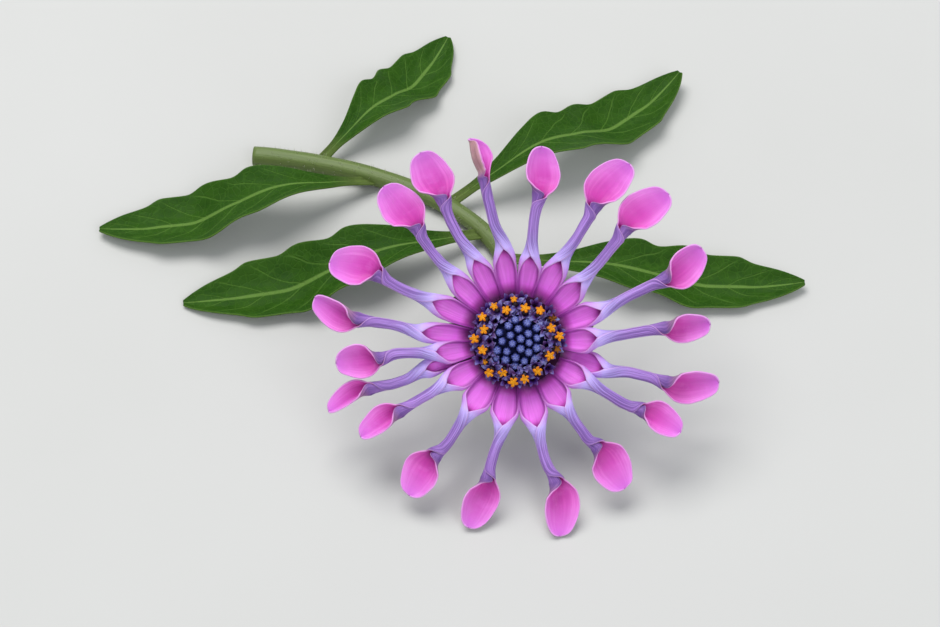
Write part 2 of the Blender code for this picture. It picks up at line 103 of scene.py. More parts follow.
def smooth(table, x):
    """Reads a table of (place, value) at x along a smooth curve that never overshoots its points."""
    xs, ys = zip(*table)
    if x <= xs[0]:
        return ys[0]
    if x >= xs[-1]:
        return ys[-1]
    slopes = [(ys[k + 1] - ys[k]) / (xs[k + 1] - xs[k]) for k in range(len(xs) - 1)]
    tangents = [slopes[0]]
    for before, after in zip(slopes, slopes[1:]):
        tangents.append(2 * before * after / (before + after) if before * after > 0 else 0.0)
    tangents.append(slopes[-1])
    k = next(k for k in range(len(slopes)) if x <= xs[k + 1])
    step = xs[k + 1] - xs[k]
    t = (x - xs[k]) / step
    return (
        (2 * t**3 - 3 * t**2 + 1) * ys[k]
        + (t**3 - 2 * t**2 + t) * step * tangents[k]
        + (3 * t**2 - 2 * t**3) * ys[k + 1]
        + (t**3 - t**2) * step * tangents[k + 1]
    )


def rows_at(rows, along):
    """Each column of a table, read at a share of the way down its rows."""
    share = along * (len(rows) - 1)
    return [smooth(tuple(enumerate(column)), share) for column in zip(*rows)]


def ease(x):
    """A smooth step from 0 at 0 to 1 at 1."""
    x = min(1.0, max(0.0, x))
    return x * x * (3 - 2 * x)


def polar(direction, reach, height=0.0):
    """A point by its direction, in degrees, its distance and its height."""
    turn = math.radians(direction)
    return Vector((reach * math.cos(turn), reach * math.sin(turn), height))


def sheet(name, columns, rows, point):
    """A grid whose vertices are placed by point(across, along), from -1 to 1 and from 0 to 1."""
    bpy.ops.object.select_all(action="DESELECT")
    bpy.ops.mesh.primitive_grid_add(x_subdivisions=columns, y_subdivisions=rows, size=2)
    piece = bpy.context.object
    piece.name = name
    for vertex in piece.data.vertices:
        vertex.co = point(vertex.co.x, (vertex.co.y + 1) / 2)
    return piece


def modifier(piece, kind, **settings):
    """Adds a modifier to a piece and applies it."""
    bpy.context.view_layer.objects.active = piece
    made = piece.modifiers.new(kind.title(), kind)
    for name, value in settings.items():
        setattr(made, name, value)
    bpy.ops.object.modifier_apply(modifier=made.name)


def select_only(*pieces):
    """Selects these pieces and nothing else, and makes the first one active."""
    bpy.ops.object.select_all(action="DESELECT")
    for piece in pieces:
        piece.select_set(True)
    bpy.context.view_layer.objects.active = pieces[0]


def join(pieces, name):
    """Joins several pieces in one."""
    select_only(*pieces)
    bpy.ops.object.join()
    pieces[0].name = name
    return pieces[0]


def close_seam(piece):
    """Merges the vertices where a sheet meets itself, and turns its faces outwards."""
    select_only(piece)
    bpy.ops.object.mode_set(mode="EDIT")
    bpy.ops.mesh.select_all(action="SELECT")
    bpy.ops.mesh.remove_doubles(threshold=0.002 * MM)
    bpy.ops.mesh.normals_make_consistent(inside=False)
    bpy.ops.object.mode_set(mode="OBJECT")


def keep(piece, slot, *nodes):
    """Shades a finished piece smooth and lets it stand for its nodes of the frame."""
    piece.data.shade_smooth()
    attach(piece, "root")
    if nodes:
        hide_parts(*nodes)


class Wire:
    """What a node of a material gives out at each point of a surface. A sum on it adds a node."""

    def __init__(self, socket):
        self.socket = socket
        self.tree = socket.id_data

    def __add__(self, other):
        return calc("ADD", self, other)

    def __sub__(self, other):
        return calc("SUBTRACT", self, other)

    def __rsub__(self, other):
        return calc("SUBTRACT", other, self)

    def __mul__(self, other):
        return calc("MULTIPLY", self, other)

    def __abs__(self):
        return calc("ABSOLUTE", self)


def add(tree, kind, inputs, output=0, **settings):
    """Adds a shader node and gives one of its outputs. An input is a value, or a wire to it."""
    made = tree.nodes.new("ShaderNode" + kind)
    for name, value in settings.items():
        setattr(made, name, value)
    for socket, value in inputs.items():
        if isinstance(value, Wire):
            tree.links.new(value.socket, made.inputs[socket])
        else:
            made.inputs[socket].default_value = value
    return Wire(made.outputs[output])


def calc(operation, a, b=0.0):
    """A sum on one or two values, of which one is a wire."""
    tree = (a if isinstance(a, Wire) else b).tree
    return add(tree, "Math", {0: a, 1: b}, operation=operation)


def step(value, low, high):
    """A smooth step of a value between two limits."""
    inputs = {0: value, 1: low, 2: high}
    return add(value.tree, "MapRange", inputs, interpolation_type="SMOOTHSTEP")


def mix(factor, a, b, blend="MIX"):
    """A mix of two colours, each a triple or a wire."""
    a, b = ((*c, 1.0) if isinstance(c, tuple) else c for c in (a, b))
    return add(factor.tree, "Mix", {0: factor, 6: a, 7: b}, 2, data_type="RGBA", blend_type=blend)


def ramp(factor, *stops):
    """A colour ramp through stops of (place, colour)."""
    made = add(factor.tree, "ValToRGB", {0: factor})
    elements = made.socket.node.color_ramp.elements
    while len(elements) < len(stops):
        elements.new(1.0)
    for element, (place, colour) in zip(elements, stops):
        element.position = place
        element.color = (*colour, 1.0)
    return made


def cloud(place, scale, detail=2.0, roughness=0.5):
    """Noise from 0 to 1."""
    inputs = {"Vector": place, "Scale": scale, "Detail": detail, "Roughness": roughness}
    return add(place.tree, "TexNoise", inputs, "Fac")


def streaks(across, along, fine, drawn, detail=3.0, roughness=0.5, seed=0.0):
    """Noise drawn out along a piece, by how fine it is across it and along it."""
    place = add(across.tree, "CombineXYZ", {0: across * fine, 1: along * drawn, 2: seed})
    return cloud(place, 1.0, detail, roughness)


def new_material(name, roughness, specular=0.5):
    """A material, its shader and its object coordinates."""
    made = bpy.data.materials.new(name)
    made.use_nodes = True
    shader = made.node_tree.nodes["Principled BSDF"]
    shader.inputs["Roughness"].default_value = roughness
    shader.inputs["Specular IOR Level"].default_value = specular
    return made, shader, add(made.node_tree, "TexCoord", {}, "Object")


def paint(shader, colour, height=None, depth=0.0):
    """Feeds a shader its colour, and a height in metres as bump."""
    colour.tree.links.new(colour.socket, shader.inputs["Base Color"])
    if height is not None:
        bump = add(colour.tree, "Bump", {"Height": height, "Distance": depth, "Strength": 1.0})
        colour.tree.links.new(bump.socket, shader.inputs["Normal"])


def glow_through(shader, weight, radius):
    """Lets light soak a little way into plant tissue, by a radius for red, green and blue."""
    shader.inputs["Subsurface Weight"].default_value = weight
    shader.inputs["Subsurface Radius"].default_value = radius
    shader.inputs["Subsurface Scale"].default_value = MM


def uv_place(shader, name="UVMap"):
    """The two wires of one of a piece's maps: across and along it."""
    place = add(shader.id_data, "UVMap", {}, uv_map=name)
    split = add(place.tree, "SeparateXYZ", {0: place})
    return split, Wire(split.socket.node.outputs[1])


def off_middle(across):
    """How far off the middle of its map a point lies, from 0 to 1."""
    return abs(across * 2.0 - 1.0)


def stem_skin():
    made, shader, place = new_material("stem_skin", 0.5)
    around, along = uv_place(shader)
    streak = streaks(around, along, 26.0, 9.0)
    skin = mix(streak, (0.075, 0.125, 0.022), (0.17, 0.235, 0.06))
    flush = step(along, 0.62, 0.2) * step(cloud(place, 260.0, 3.0), 0.3, 0.7)
    skin = mix(flush * 0.7, skin, (0.085, 0.035, 0.055))
    paint(shader, skin, streak * 0.7 + cloud(place, 3200.0) * 0.3, 0.12 * MM)
    glow_through(shader, 0.12, (0.3, 0.5, 0.15))
    return made


def stem_pith():
    made, shader, place = new_material("stem_pith", 0.75)
    grain = cloud(place, 4200.0, 3.0)
    rings = ramp(
        uv_place(shader, "cut")[0],
        (0.0, (0.52, 0.56, 0.33)), (0.5, (0.42, 0.48, 0.22)), (0.72, (0.13, 0.19, 0.04)),
        (0.82, (0.30, 0.36, 0.12)), (0.95, (0.09, 0.13, 0.03)),
    )
    paint(shader, mix(grain, rings, (0.28, 0.30, 0.13), "MULTIPLY"), grain, 0.1 * MM)
    return made


def hair_pale():
    made, shader, place = new_material("hair_pale", 0.4)
    paint(shader, mix(cloud(place, 700.0), (0.40, 0.43, 0.27), (0.62, 0.64, 0.50)))
    return made


def bezier(points, t):
    """A point of the cubic curve with these four control points."""
    a, b, c, d = points
    return a * (1 - t) ** 3 + b * 3 * t * (1 - t) ** 2 + c * 3 * t**2 * (1 - t) + d * t**3


STEM_DOWN = LEAN.to_3x3() @ Vector((0, 0, -1))
STEM_TOP = LEAN @ Vector((0, 0, STEM_RECEPTACLE[-1][0]))
STEM_NECK = (
    STEM_TOP, STEM_TOP + STEM_DOWN * STEM_NECK_PULL,
    STEM_TOUCHES - STEM_TOUCH_HEADING * STEM_NECK_PULL, STEM_TOUCHES,
)
STEM_RUN = (
    STEM_TOUCHES, STEM_TOUCHES + STEM_TOUCH_HEADING * STEM_RUN_PULLS[0],
    STEM_CUT + STEM_CUT_HEADING * STEM_RUN_PULLS[1], STEM_CUT,
)


def stem_place(along):
    """The stem's middle, its direction and its radius at a share of its length."""
    if along <= STEM_PARTS[0]:
        height, radius = rows_at(STEM_RECEPTACLE, along / STEM_PARTS[0])
        return LEAN @ Vector((0, 0, height)), STEM_DOWN, radius
    curve, start, end, radii = STEM_NECK, STEM_PARTS[0], STEM_PARTS[1], STEM_RADII[:2]
    if along > STEM_PARTS[1]:
        curve, start, end, radii = STEM_RUN, STEM_PARTS[1], 1.0, STEM_RADII[1:]
    share = (along - start) / (end - start)
    ahead, behind = bezier(curve, share + 0.01), bezier(curve, share - 0.01)
    return bezier(curve, share), (ahead - behind).normalized(), radii[0] + (radii[1] - radii[0]) * share


def stem_point(across, along):
    """A point of the stem's skin, from once round it and its share of its length."""
    middle, heading, radius = stem_place(along)
    side = heading.cross(Vector((0, 0, 1))).normalized()
    up = side.cross(heading)
    turn = math.pi * across
    rib = STEM_RIB_DEPTH * math.cos(STEM_RIBS * turn + 3 * along)
    lump = STEM_LUMP_DEPTH * noise.noise(middle * STEM_LUMPS_PER_MM)
    radius = radius * (1 + (rib + lump) * ease((along - 0.1) * 12))
    return GROUND @ (middle + (side * math.cos(turn) + up * math.sin(turn)) * radius)


def stem_hairs():
    """Short hairs on the stem, all in one mesh, each a three-sided spike."""
    draw = random.Random(11)
    hairs = bmesh.new()
    for _ in range(HAIRS):
        along, across = draw.uniform(*HAIR_SPAN), draw.uniform(-1, 1)
        root = stem_point(across, along)
        middle = GROUND @ stem_place(along)[0]
        out = (root - middle).normalized()
        tilt = Vector([draw.uniform(-HAIR_TILT, HAIR_TILT) for _ in range(3)])
        out = (out + tilt).normalized()
        length = draw.uniform(*HAIR_LENGTHS) * MM
        if root.z + out.z * length < HAIR_CLEARANCE * MM:
            continue
        upright = out.to_track_quat("Z", "Y").to_matrix().to_4x4()
        bmesh.ops.create_cone(
            hairs, segments=3, radius1=HAIR_RADII[0] * MM, radius2=HAIR_RADII[1] * MM, depth=length,
            cap_ends=True, matrix=Matrix.Translation(root + out * length * 0.4) @ upright,
        )
    mesh = bpy.data.meshes.new("stem_hairs")
    hairs.to_mesh(mesh)
    hairs.free()
    piece = bpy.data.objects.new("stem_hairs", mesh)
    bpy.context.scene.collection.objects.link(piece)
    return piece


stem = sheet("stem", STEM_SIDES, STEM_ROWS, stem_point)
stem.data.materials.append(stem_skin())
close_seam(stem)
# The top of the receptacle and the cut are filled, each with rings drawn in towards its middle
bpy.ops.object.mode_set(mode="EDIT")
bpy.ops.mesh.select_mode(type="EDGE")
bpy.ops.mesh.select_all(action="DESELECT")
bpy.ops.mesh.select_non_manifold()
bpy.ops.mesh.edge_face_add()
bpy.ops.mesh.select_mode(type="FACE")
bpy.ops.object.mode_set(mode="OBJECT")
stem.data.materials.append(stem_pith())
stem.data.uv_layers.new(name="cut")
for face in stem.data.polygons:
    if len(face.vertices) > 4:
        face.material_index = 1
bpy.ops.object.mode_set(mode="EDIT")
bpy.ops.mesh.select_all(action="DESELECT")
bpy.ops.object.mode_set(mode="OBJECT")
for face in stem.data.polygons:
    face.select = len(face.vertices) > 4
bpy.ops.object.mode_set(mode="EDIT")
for width in PITH_RINGS:
    bpy.ops.mesh.inset(thickness=width * MM, use_individual=True)
bpy.ops.mesh.normals_make_consistent(inside=False)
bpy.ops.object.mode_set(mode="OBJECT")
cut_middle = GROUND @ STEM_CUT
for face in stem.data.polygons:
    if face.material_index == 1:
        for loop in face.loop_indices:
            corner = stem.data.vertices[stem.data.loops[loop].vertex_index].co
            away = (corner - cut_middle).length / (STEM_RADII[2] * MM)
            stem.data.uv_layers["cut"].data[loop].uv = (min(1.0, away), 0.5)
keep(stem, "stem", "stem")
hairs = stem_hairs()
hairs.data.materials.append(hair_pale())
keep(hairs, "stem")


# The leaves grow from the stem one by one. Each is a thin blade with a few shallow teeth, widest
# past its middle and narrowed to a stalk, with a sunken midrib, side veins and a pale edge. They
# are arched, and rest on the surface near their tips.
LEAF_BLADE = 0.34
# Share of the stem's run that each grows from, heading, length, half width, how high it arches, how
# high its tip lifts, how far one edge is banked up, and how far it curves to the side
LEAVES = (
    (0.12, -16.0, 42.0, 5.2, 3.4, 1.2, 0.10, 5.0),
    (0.26, 206.0, 44.0, 6.2, 4.6, 0.3, 0.00, -5.0),
    (0.44, 24.0, 42.0, 6.0, 6.0, 2.5, -0.12, 6.0),
    (0.66, 205.0, 40.0, 5.8, 5.2, 1.0, 0.14, -6.0),
    (0.84, 42.0, 31.0, 5.2, 4.0, 0.8, 0.0, 6.0),
)
LEAF_OUTLINE = (
    (0, 0.16), (0.08, 0.15), (0.2, 0.30), (0.33, 0.60), (0.45, 0.86), (0.5, 0.76), (0.62, 1.0),
    (0.68, 0.87), (0.78, 0.84), (0.83, 0.66), (0.92, 0.42), (0.97, 0.22), (1, 0.06),
)
LEAF_ARCH = ((0, 0), (0.15, 0.55), (0.35, 1.0), (0.52, 0.6), (0.68, 0), (1, 0))
# Past this share of its length a leaf's tip lifts, and past this share of its half width its edges
LEAF_TIP = 0.83
LEAF_FLAT_HALF = 0.4
LEAF_TROUGH = 0.30
LEAF_ROOT_HEIGHT = 1.0
LEAF_ROOT_SETTLES = 0.4
LEAF_VEINS = 8.0
LEAF_VEIN_SLANT = 1.5
# How far a leaf's foot is sunk in the stem along its heading, and how much is added to it for that
LEAF_SUNK = 1.3
LEAF_ADDED = 1.6
# The width of the midrib's groove, how deep it is, and how far the blade rises between its veins and
# in waves. All fade in between these half widths of the blade.
LEAF_RIB_WIDTH = 0.34
LEAF_RIB_DEPTH = 0.10
LEAF_QUILT = 0.09
LEAF_WAVES = 0.28
LEAF_DETAIL_WIDTHS = (1.2, 3.2)
LEAF_COLUMNS = 22
LEAF_ROWS = 66
# Above 1, the rows lie closer together near the stalk
LEAF_CROWDED = 1.15


def leaf_lines(shader, wander=0.0):
    """How far off the midrib a point of a blade lies, its share of the length, and how far it is
    from the nearest side vein."""
    across, along = uv_place(shader)
    off = off_middle(across)
    climb = along * LEAF_VEINS - off * LEAF_VEIN_SLANT + wander
    return off, along, abs(calc("FRACT", climb) - 0.5)


def leaf_green():
    """The upper side: deep green, with a pale midrib, fainter side veins and net, and a pale edge."""
    made, shader, place = new_material("leaf_green", 0.6, 0.12)
    off, along, from_vein = leaf_lines(shader, (cloud(place, 160.0) - 0.5) * 0.3)
    side_vein = step(from_vein, 0.055, 0.015) * step(off, 0.96, 0.7)
    cells = {"Vector": place, "Scale": 900.0}
    net = add(place.tree, "TexVoronoi", cells, "Distance", feature="DISTANCE_TO_EDGE")
    net_vein = step(net, 0.10, 0.02)
    blade = mix(cloud(place, 330.0, 4.0, 0.6), (0.009, 0.048, 0.002), (0.034, 0.105, 0.004))
    blade = mix(net_vein * 0.22, blade, (0.06, 0.16, 0.015))
    blade = mix(side_vein * 0.5, blade, (0.085, 0.19, 0.025))
    blade = mix(step(off, 0.085, 0.03) * 0.75, blade, (0.14, 0.26, 0.05))
    blade = mix(step(off, 0.955, 0.995) * 0.6, blade, (0.11, 0.20, 0.035))
    blade = mix(step(along, 0.16, 0.02) * 0.6, blade, (0.16, 0.20, 0.06))
    raised = calc("MAXIMUM", side_vein * 0.7, net_vein * 0.35)
    paint(shader, blade, cloud(place, 1500.0, 3.0) * 0.5 - raised, 0.10 * MM)
    glow_through(shader, 0.10, (0.2, 0.5, 0.08))
    return made


def leaf_pale():
    """The underside: paler and greyer, with raised veins."""
    made, shader, place = new_material("leaf_pale", 0.6)
    off, _, from_vein = leaf_lines(shader)
    veins = calc("MAXIMUM", step(from_vein, 0.06, 0.02), step(off, 0.12, 0.04))
    mottle = cloud(place, 420.0, 4.0, 0.6)
    blade = mix(mottle, (0.070, 0.145, 0.040), (0.125, 0.215, 0.075))
    blade = mix(veins * 0.6, blade, (0.21, 0.30, 0.13))
    paint(shader, blade, mottle * 0.4 + veins, 0.10 * MM)
    return made


def leaf_root(share, heading, half_width):
    """Where a leaf starts, at the stem's skin."""
    forward = polar(heading, 1)
    along = (bezier(STEM_RUN, share + 0.01) - bezier(STEM_RUN, share - 0.01)).normalized()
    radius = STEM_RADII[1] + (STEM_RADII[2] - STEM_RADII[1]) * share
    corner = half_width * LEAF_OUTLINE[0][1] * abs(forward.dot(along))
    out = (radius + corner - LEAF_SUNK) / forward.cross(along).length
    root = bezier(STEM_RUN, share) + forward * out
    return Vector((root.x, root.y, 0))


def leaf_piece(number, stem_share, heading, length, half_width, arch, tip_lift, bank, curve):
    """One leaf, from its stalk at the stem to its tip."""
    root = leaf_root(stem_share, heading, half_width)
    length += LEAF_ADDED
    forward, side = polar(heading, 1), polar(heading + 90, 1)

    def point(across, share):
        across, share = -across, 1 - (1 - share) ** LEAF_CROWDED
        turn = math.radians(curve) * share * 2
        middle = root + (forward * math.cos(turn) + side * math.sin(turn)) * length * share
        outward = side * math.cos(turn * 2) - forward * math.sin(turn * 2)
        width = half_width * smooth(LEAF_OUTLINE, share)
        settled = LEAF_ROOT_HEIGHT * max(0.0, 1 - share / LEAF_ROOT_SETTLES)
        lifted = tip_lift * max(0.0, (share - LEAF_TIP) / (1 - LEAF_TIP)) ** 1.5
        height = LEAF_BLADE + settled + arch * smooth(LEAF_ARCH, share) + lifted
        height += LEAF_TROUGH * width * max(0.0, abs(across) - LEAF_FLAT_HALF) / (1 - LEAF_FLAT_HALF)
        height += (abs(bank) + bank * across) * width
        rib = math.exp(-((across * width / LEAF_RIB_WIDTH) ** 2))
        rib *= ease(share * 6) * ease((1 - share) * 6)
        quilt = math.cos(2 * math.pi * (LEAF_VEINS * share - LEAF_VEIN_SLANT * abs(across)))
        wave = noise.noise(Vector((share * 5, across * 1.6, number * 7.3)))
        narrow, wide = LEAF_DETAIL_WIDTHS
        quilt *= LEAF_QUILT * min(1.0, abs(across) * 3) * (1 - across**4)
        wave *= LEAF_WAVES * abs(across) ** 1.5
        height += ease((width - narrow) / (wide - narrow)) * (LEAF_RIB_DEPTH * (1 - rib) + quilt + wave)
        place = middle + outward * across * width
        return GROUND @ Vector((place.x, place.y, max(LEAF_BLADE + 0.02, height)))

    piece = sheet(f"leaf_{number}", LEAF_COLUMNS, LEAF_ROWS, point)
    piece.data.materials.append(LEAF_GREEN)
    piece.data.materials.append(LEAF_PALE)
    modifier(
        piece, "SOLIDIFY", thickness=LEAF_BLADE * MM, offset=-1,
        material_offset=1, use_even_offset=False,
    )
    modifier(piece, "SUBSURF", levels=1, render_levels=1)
    keep(piece, "leaf", f"leaf_{number}")


LEAF_GREEN, LEAF_PALE = leaf_green(), leaf_pale()
for number, leaf in enumerate(LEAVES, start=1):
    leaf_piece(number, *leaf)


# The involucre is the green cup behind the petals: two rows of narrow pointed bracts with thin
# papery edges and purple tips, joined at their feet round the receptacle.
CUP_SIDES = 192
CUP_ROWS = 20
CUP_GROOVES = 0.26
# Radius and height of the cup's wall, up its outside and down its inside
CUP_PROFILE = (
    (1.92, -6.36), (2.70, -6.42), (3.45, -6.12), (4.35, -5.42), (5.60, -4.4), (6.45, -3.3),
    (6.25, -3.05), (5.75, -3.2), (4.90, -4.1), (3.70, -5.1), (1.92, -6.36),
)
BRACTS = 16
BRACT_REACH = ((0, 4.6), (0.25, 6.4), (0.5, 7.9), (0.75, 9.4), (1, 10.7))
BRACT_HEIGHT = ((0, -4.85), (0.25, -3.45), (0.5, -2.85), (0.75, -2.50), (1, -2.20))
BRACT_HALF_WIDTH = ((0, 0.85), (0.2, 1.02), (0.45, 0.92), (0.75, 0.55), (0.93, 0.22), (1, 0.06))
BRACT_THICKNESS = 0.30
BRACT_TROUGH = 0.18
BRACT_SWING = 0.25
BRACT_COLUMNS = 6
BRACT_ROWS = 14
# Length and width, as shares of an outer bract's, and how much nearer the petals it lies
OUTER_BRACT = (1.0, 1.0, 0.0)
INNER_BRACT = (0.84, 0.8, 0.12)


def bract_green():
    made, shader, place = new_material("bract_green", 0.5)
    across, along = uv_place(shader)
    across = calc("FRACT", across)
    off = off_middle(across)
    streak = streaks(across, along, 9.0, 1.5)
    green = mix(streak, (0.055, 0.13, 0.02), (0.15, 0.25, 0.05))
    green = mix(step(off, 0.25, 0.05) * 0.5, green, (0.20, 0.30, 0.09))
    green = mix(step(along + cloud(place, 900.0) * 0.2, 0.85, 1.08), green, (0.09, 0.018, 0.07))
    green = mix(step(off, 0.8, 0.98) * 0.55, green, (0.30, 0.30, 0.20))
    paint(shader, green, streak, 0.08 * MM)
    glow_through(shader, 0.1, (0.2, 0.4, 0.1))
    return made


def cup_point(across, along):
    """A point of the turned cup: once round it, and along its profile. The feet of the outer bracts
    bulge, with grooves between them."""
    reach, height = rows_at(CUP_PROFILE, along)
    bulge = abs(math.sin(math.radians(90 * BRACTS * across)))
    reach -= CUP_GROOVES * (1 - bulge) ** 2 * math.sin(math.pi * min(1.0, along * 2))
    return BLOOM @ polar(180 * across, reach, height)


def bract_piece(number):
    """One bract, turned to its place. Every other one is shorter and lies nearer the petals."""
    length, breadth, rise = INNER_BRACT if number % 2 else OUTER_BRACT
    turn = Matrix.Rotation(math.radians(180 / BRACTS * (number + 1)), 4, "Z")
    swing = BRACT_SWING * noise.noise(Vector((number * 3.1, 0.5, 0)))

    def point(across, along):
        foot = BRACT_REACH[0][1]
        reach = foot + (smooth(BRACT_REACH, along) - foot) * length
        width = smooth(BRACT_HALF_WIDTH, along) * breadth
        height = smooth(BRACT_HEIGHT, along) + rise - BRACT_TROUGH * (1 - across**2)
        place = Vector((reach, across * width + swing * along**2, height + BRACT_THICKNESS / 2))
        return BLOOM @ turn @ place

    piece = sheet("bract", BRACT_COLUMNS, BRACT_ROWS, point)
    modifier(piece, "SOLIDIFY", thickness=BRACT_THICKNESS * MM, offset=0)
    modifier(piece, "SUBSURF", levels=1, render_levels=1)
    return piece


cup = sheet("cup", CUP_SIDES, CUP_ROWS, cup_point)
close_seam(cup)
for corner in cup.data.uv_layers[0].data:
    corner.uv.x *= BRACTS
involucre = join([cup] + [bract_piece(number) for number in range(2 * BRACTS)], "involucre")
involucre.data.materials.append(bract_green())
keep(involucre, "bract", "involucre")


# The ray petals are long strips, magenta pink on their upper side and striped lilac below. Each is
# an open trough by the disc, the window, with its edges curled in. Past it one edge laps over the
# other and makes a narrow tube, and at the end the strip opens again to a spoon, whose mouth
# starts at a notch on one side of the tube.
PETAL_ROOT = 5.0
TUBE_MIDDLE = 16.5
# The directions of the foot, window tip, tube, neck and spoon tip come first. Next is how far from the
# centre the window tip, the neck and the spoon tip lie, and then how wide the spoon is on the side of
# its mouth (plus is anticlockwise) and on the other. The last are how far its tip lifts above the face,
# how far the wall on the other side leans in over it, which only the folded spoon's does, and how long
# the edges take to cross the tube at its neck.
Petal = collections.namedtuple("Petal", (
    "foot", "window", "tube", "neck", "tip", "window_reach", "neck_reach", "tip_reach",
    "mouth", "other", "lift", "leans", "crosses",
))
PETALS = (
    (1.0, 2.0, 3.9, 4.9, 4.8, 11.1, 20.2, 26.6, -2.30, 1.65, 1.4, 0, 2.2),
    (19.0, 19.7, 21.8, 22.8, 26.8, 12.3, 22.0, 28.4, -2.92, 2.00, 0.6, 0, 1.6),
    (41.5, 42.5, 44.2, 45.6, 44.0, 12.0, 21.2, 28.9, 3.30, 2.20, 1.4, 0, 1.1),
    (61.0, 61.3, 60.0, 59.9, 57.5, 12.5, 21.3, 28.8, 3.27, 2.24, 0.6, 0, 1.0),
    (82.0, 81.2, 82.1, 81.8, 83.0, 11.8, 20.2, 26.9, -2.78, 2.05, 1.2, 0, 1.2),
    (98.5, 98.6, 101.2, 102.0, 103.3, 12.8, 22.6, 28.6, -2.26, 1.35, 0.4, 2.2, 2.4),
    (119.0, 118.2, 119.4, 118.1, 117.3, 12.7, 22.1, 29.1, -2.96, 2.82, 1.3, 0, 1.1),
    (136.0, 134.8, 134.2, 132.1, 131.0, 12.8, 20.8, 28.1, -3.05, 2.68, 0.6, 0, 0.9),
    (156.5, 155.7, 155.8, 155.1, 157.5, 13.0, 21.2, 28.0, -3.20, 2.44, 1.2, 0, 1.0),
    (175.0, 175.2, 173.1, 172.3, 168.0, 13.3, 22.1, 28.6, 2.68, 1.27, 0.3, 0, 2.4),
    (188.5, 188.0, 186.3, 187.3, 187.0, 11.5, 19.1, 25.2, 2.54, 2.34, 1.2, 0, 1.2),
    (199.0, 197.5, 199.4, 198.2, 200.9, 13.4, 21.4, 27.9, -2.20, 0.72, -0.6, 0, 2.3),
    (212.0, 211.0, 211.0, 211.1, 211.7, 11.5, 18.8, 25.3, -2.41, 1.17, 1.3, 0, 2.2),
    (235.5, 235.5, 235.7, 234.7, 235.1, 12.0, 19.5, 26.1, -3.13, 2.17, 0.5, 0, 0.9),
    (259.5, 260.0, 258.0, 257.6, 255.2, 12.0, 19.4, 26.6, 2.65, 2.17, 0.7, 0, 1.0),
    (282.0, 282.8, 283.1, 284.9, 281.9, 12.3, 20.1, 27.5, 2.96, 1.96, 1.2, 0, 1.6),
    (305.5, 305.5, 305.7, 306.6, 305.8, 11.3, 18.3, 25.2, 3.03, 2.72, 0.4, 0, 1.1),
    (328.0, 329.7, 329.3, 330.6, 330.6, 11.1, 19.6, 25.7, 2.58, 1.68, 1.1, 0, 0.8),
    (343.0, 341.5, 344.3, 344.4, 348.4, 12.6, 21.2, 28.3, -2.70, 1.82, 0.3, 0, 1.9),
)
# These two sit behind their neighbours, by up to this much, and most at this share of their length
LOWER_PETALS = {11: -1.3, 18: -1.3}
LOWEST_AT = 0.13
PETAL_LIFT = ((0, -1.15), (0.12, -0.55), (0.3, 0.35), (0.5, 0.75), (0.8, 0.75), (1, 0.0))
# Shares of the strip's length where its window ends and its spoon starts
PETAL_PARTS = (0.32, 0.64)
# Along the window, the tube and the spoon: how deep the bottom of the trough lies below the axis, and
# how far round from there the lapping edge and the lapped edge reach, in degrees
BOTTOM = (
    ((0, 0.50), (0.3, 0.70), (0.55, 0.80), (0.85, 0.85), (1, 0.90)),
    ((0, 0.90), (0.22, 0.78), (0.5, 0.70), (0.8, 0.74), (1, 0.90)),
    ((0, 0.90), (0.12, 1.05), (0.35, 1.35), (0.6, 1.25), (0.8, 0.95), (0.92, 0.62), (1, 0.42)),
)
WINDOW_EDGES = (
    (0, 118), (0.2, 114), (0.41, 113), (0.58, 114), (0.7, 121), (0.8, 136), (0.88, 150),
    (0.95, 165), (1, 180),
)
LAPPING = (
    WINDOW_EDGES,
    ((0, 180), (0.12, 206), (0.35, 242), (1, 246)),
    ((0, 98), (0.1, 90), (0.3, 82), (0.5, 77), (0.9, 72), (1, 60)),
)
LAPPED = (
    WINDOW_EDGES,
    ((0, 180), (0.15, 185), (0.5, 188), (0.75, 205), (0.9, 238), (1, 258)),
    ((0, 92), (0.5, 88), (0.9, 76), (1, 60)),
)
# The same near the neck, where the lapping edge crosses the tube to the mouth's side and the lapped
# one crosses back past it, by how far from the neck in shares of the petal's length for it
LAPPING_CROSSES = ((-1.1, 246), (-0.85, 236), (-0.6, 212), (-0.35, 168), (-0.14, 122), (0, 98))
LAPPED_CROSSES = ((0, 258), (0.17, 242), (0.34, 216), (0.5, 186), (0.62, 162))
# Past there it opens over this many millimetres
LAPPED_OPENS = ((0, 162), (0.16, 145), (0.4, 130), (0.8, 114), (1.4, 99), (2.0, 84))
# The folded spoon's wall reaches round this far
FOLDED_EDGE = (
    (0, 258), (0.03, 228), (0.06, 203), (0.12, 190), (0.18, 156), (0.25, 127), (0.35, 120), (0.5, 124),
    (0.7, 124), (0.83, 117), (1, 70),
)
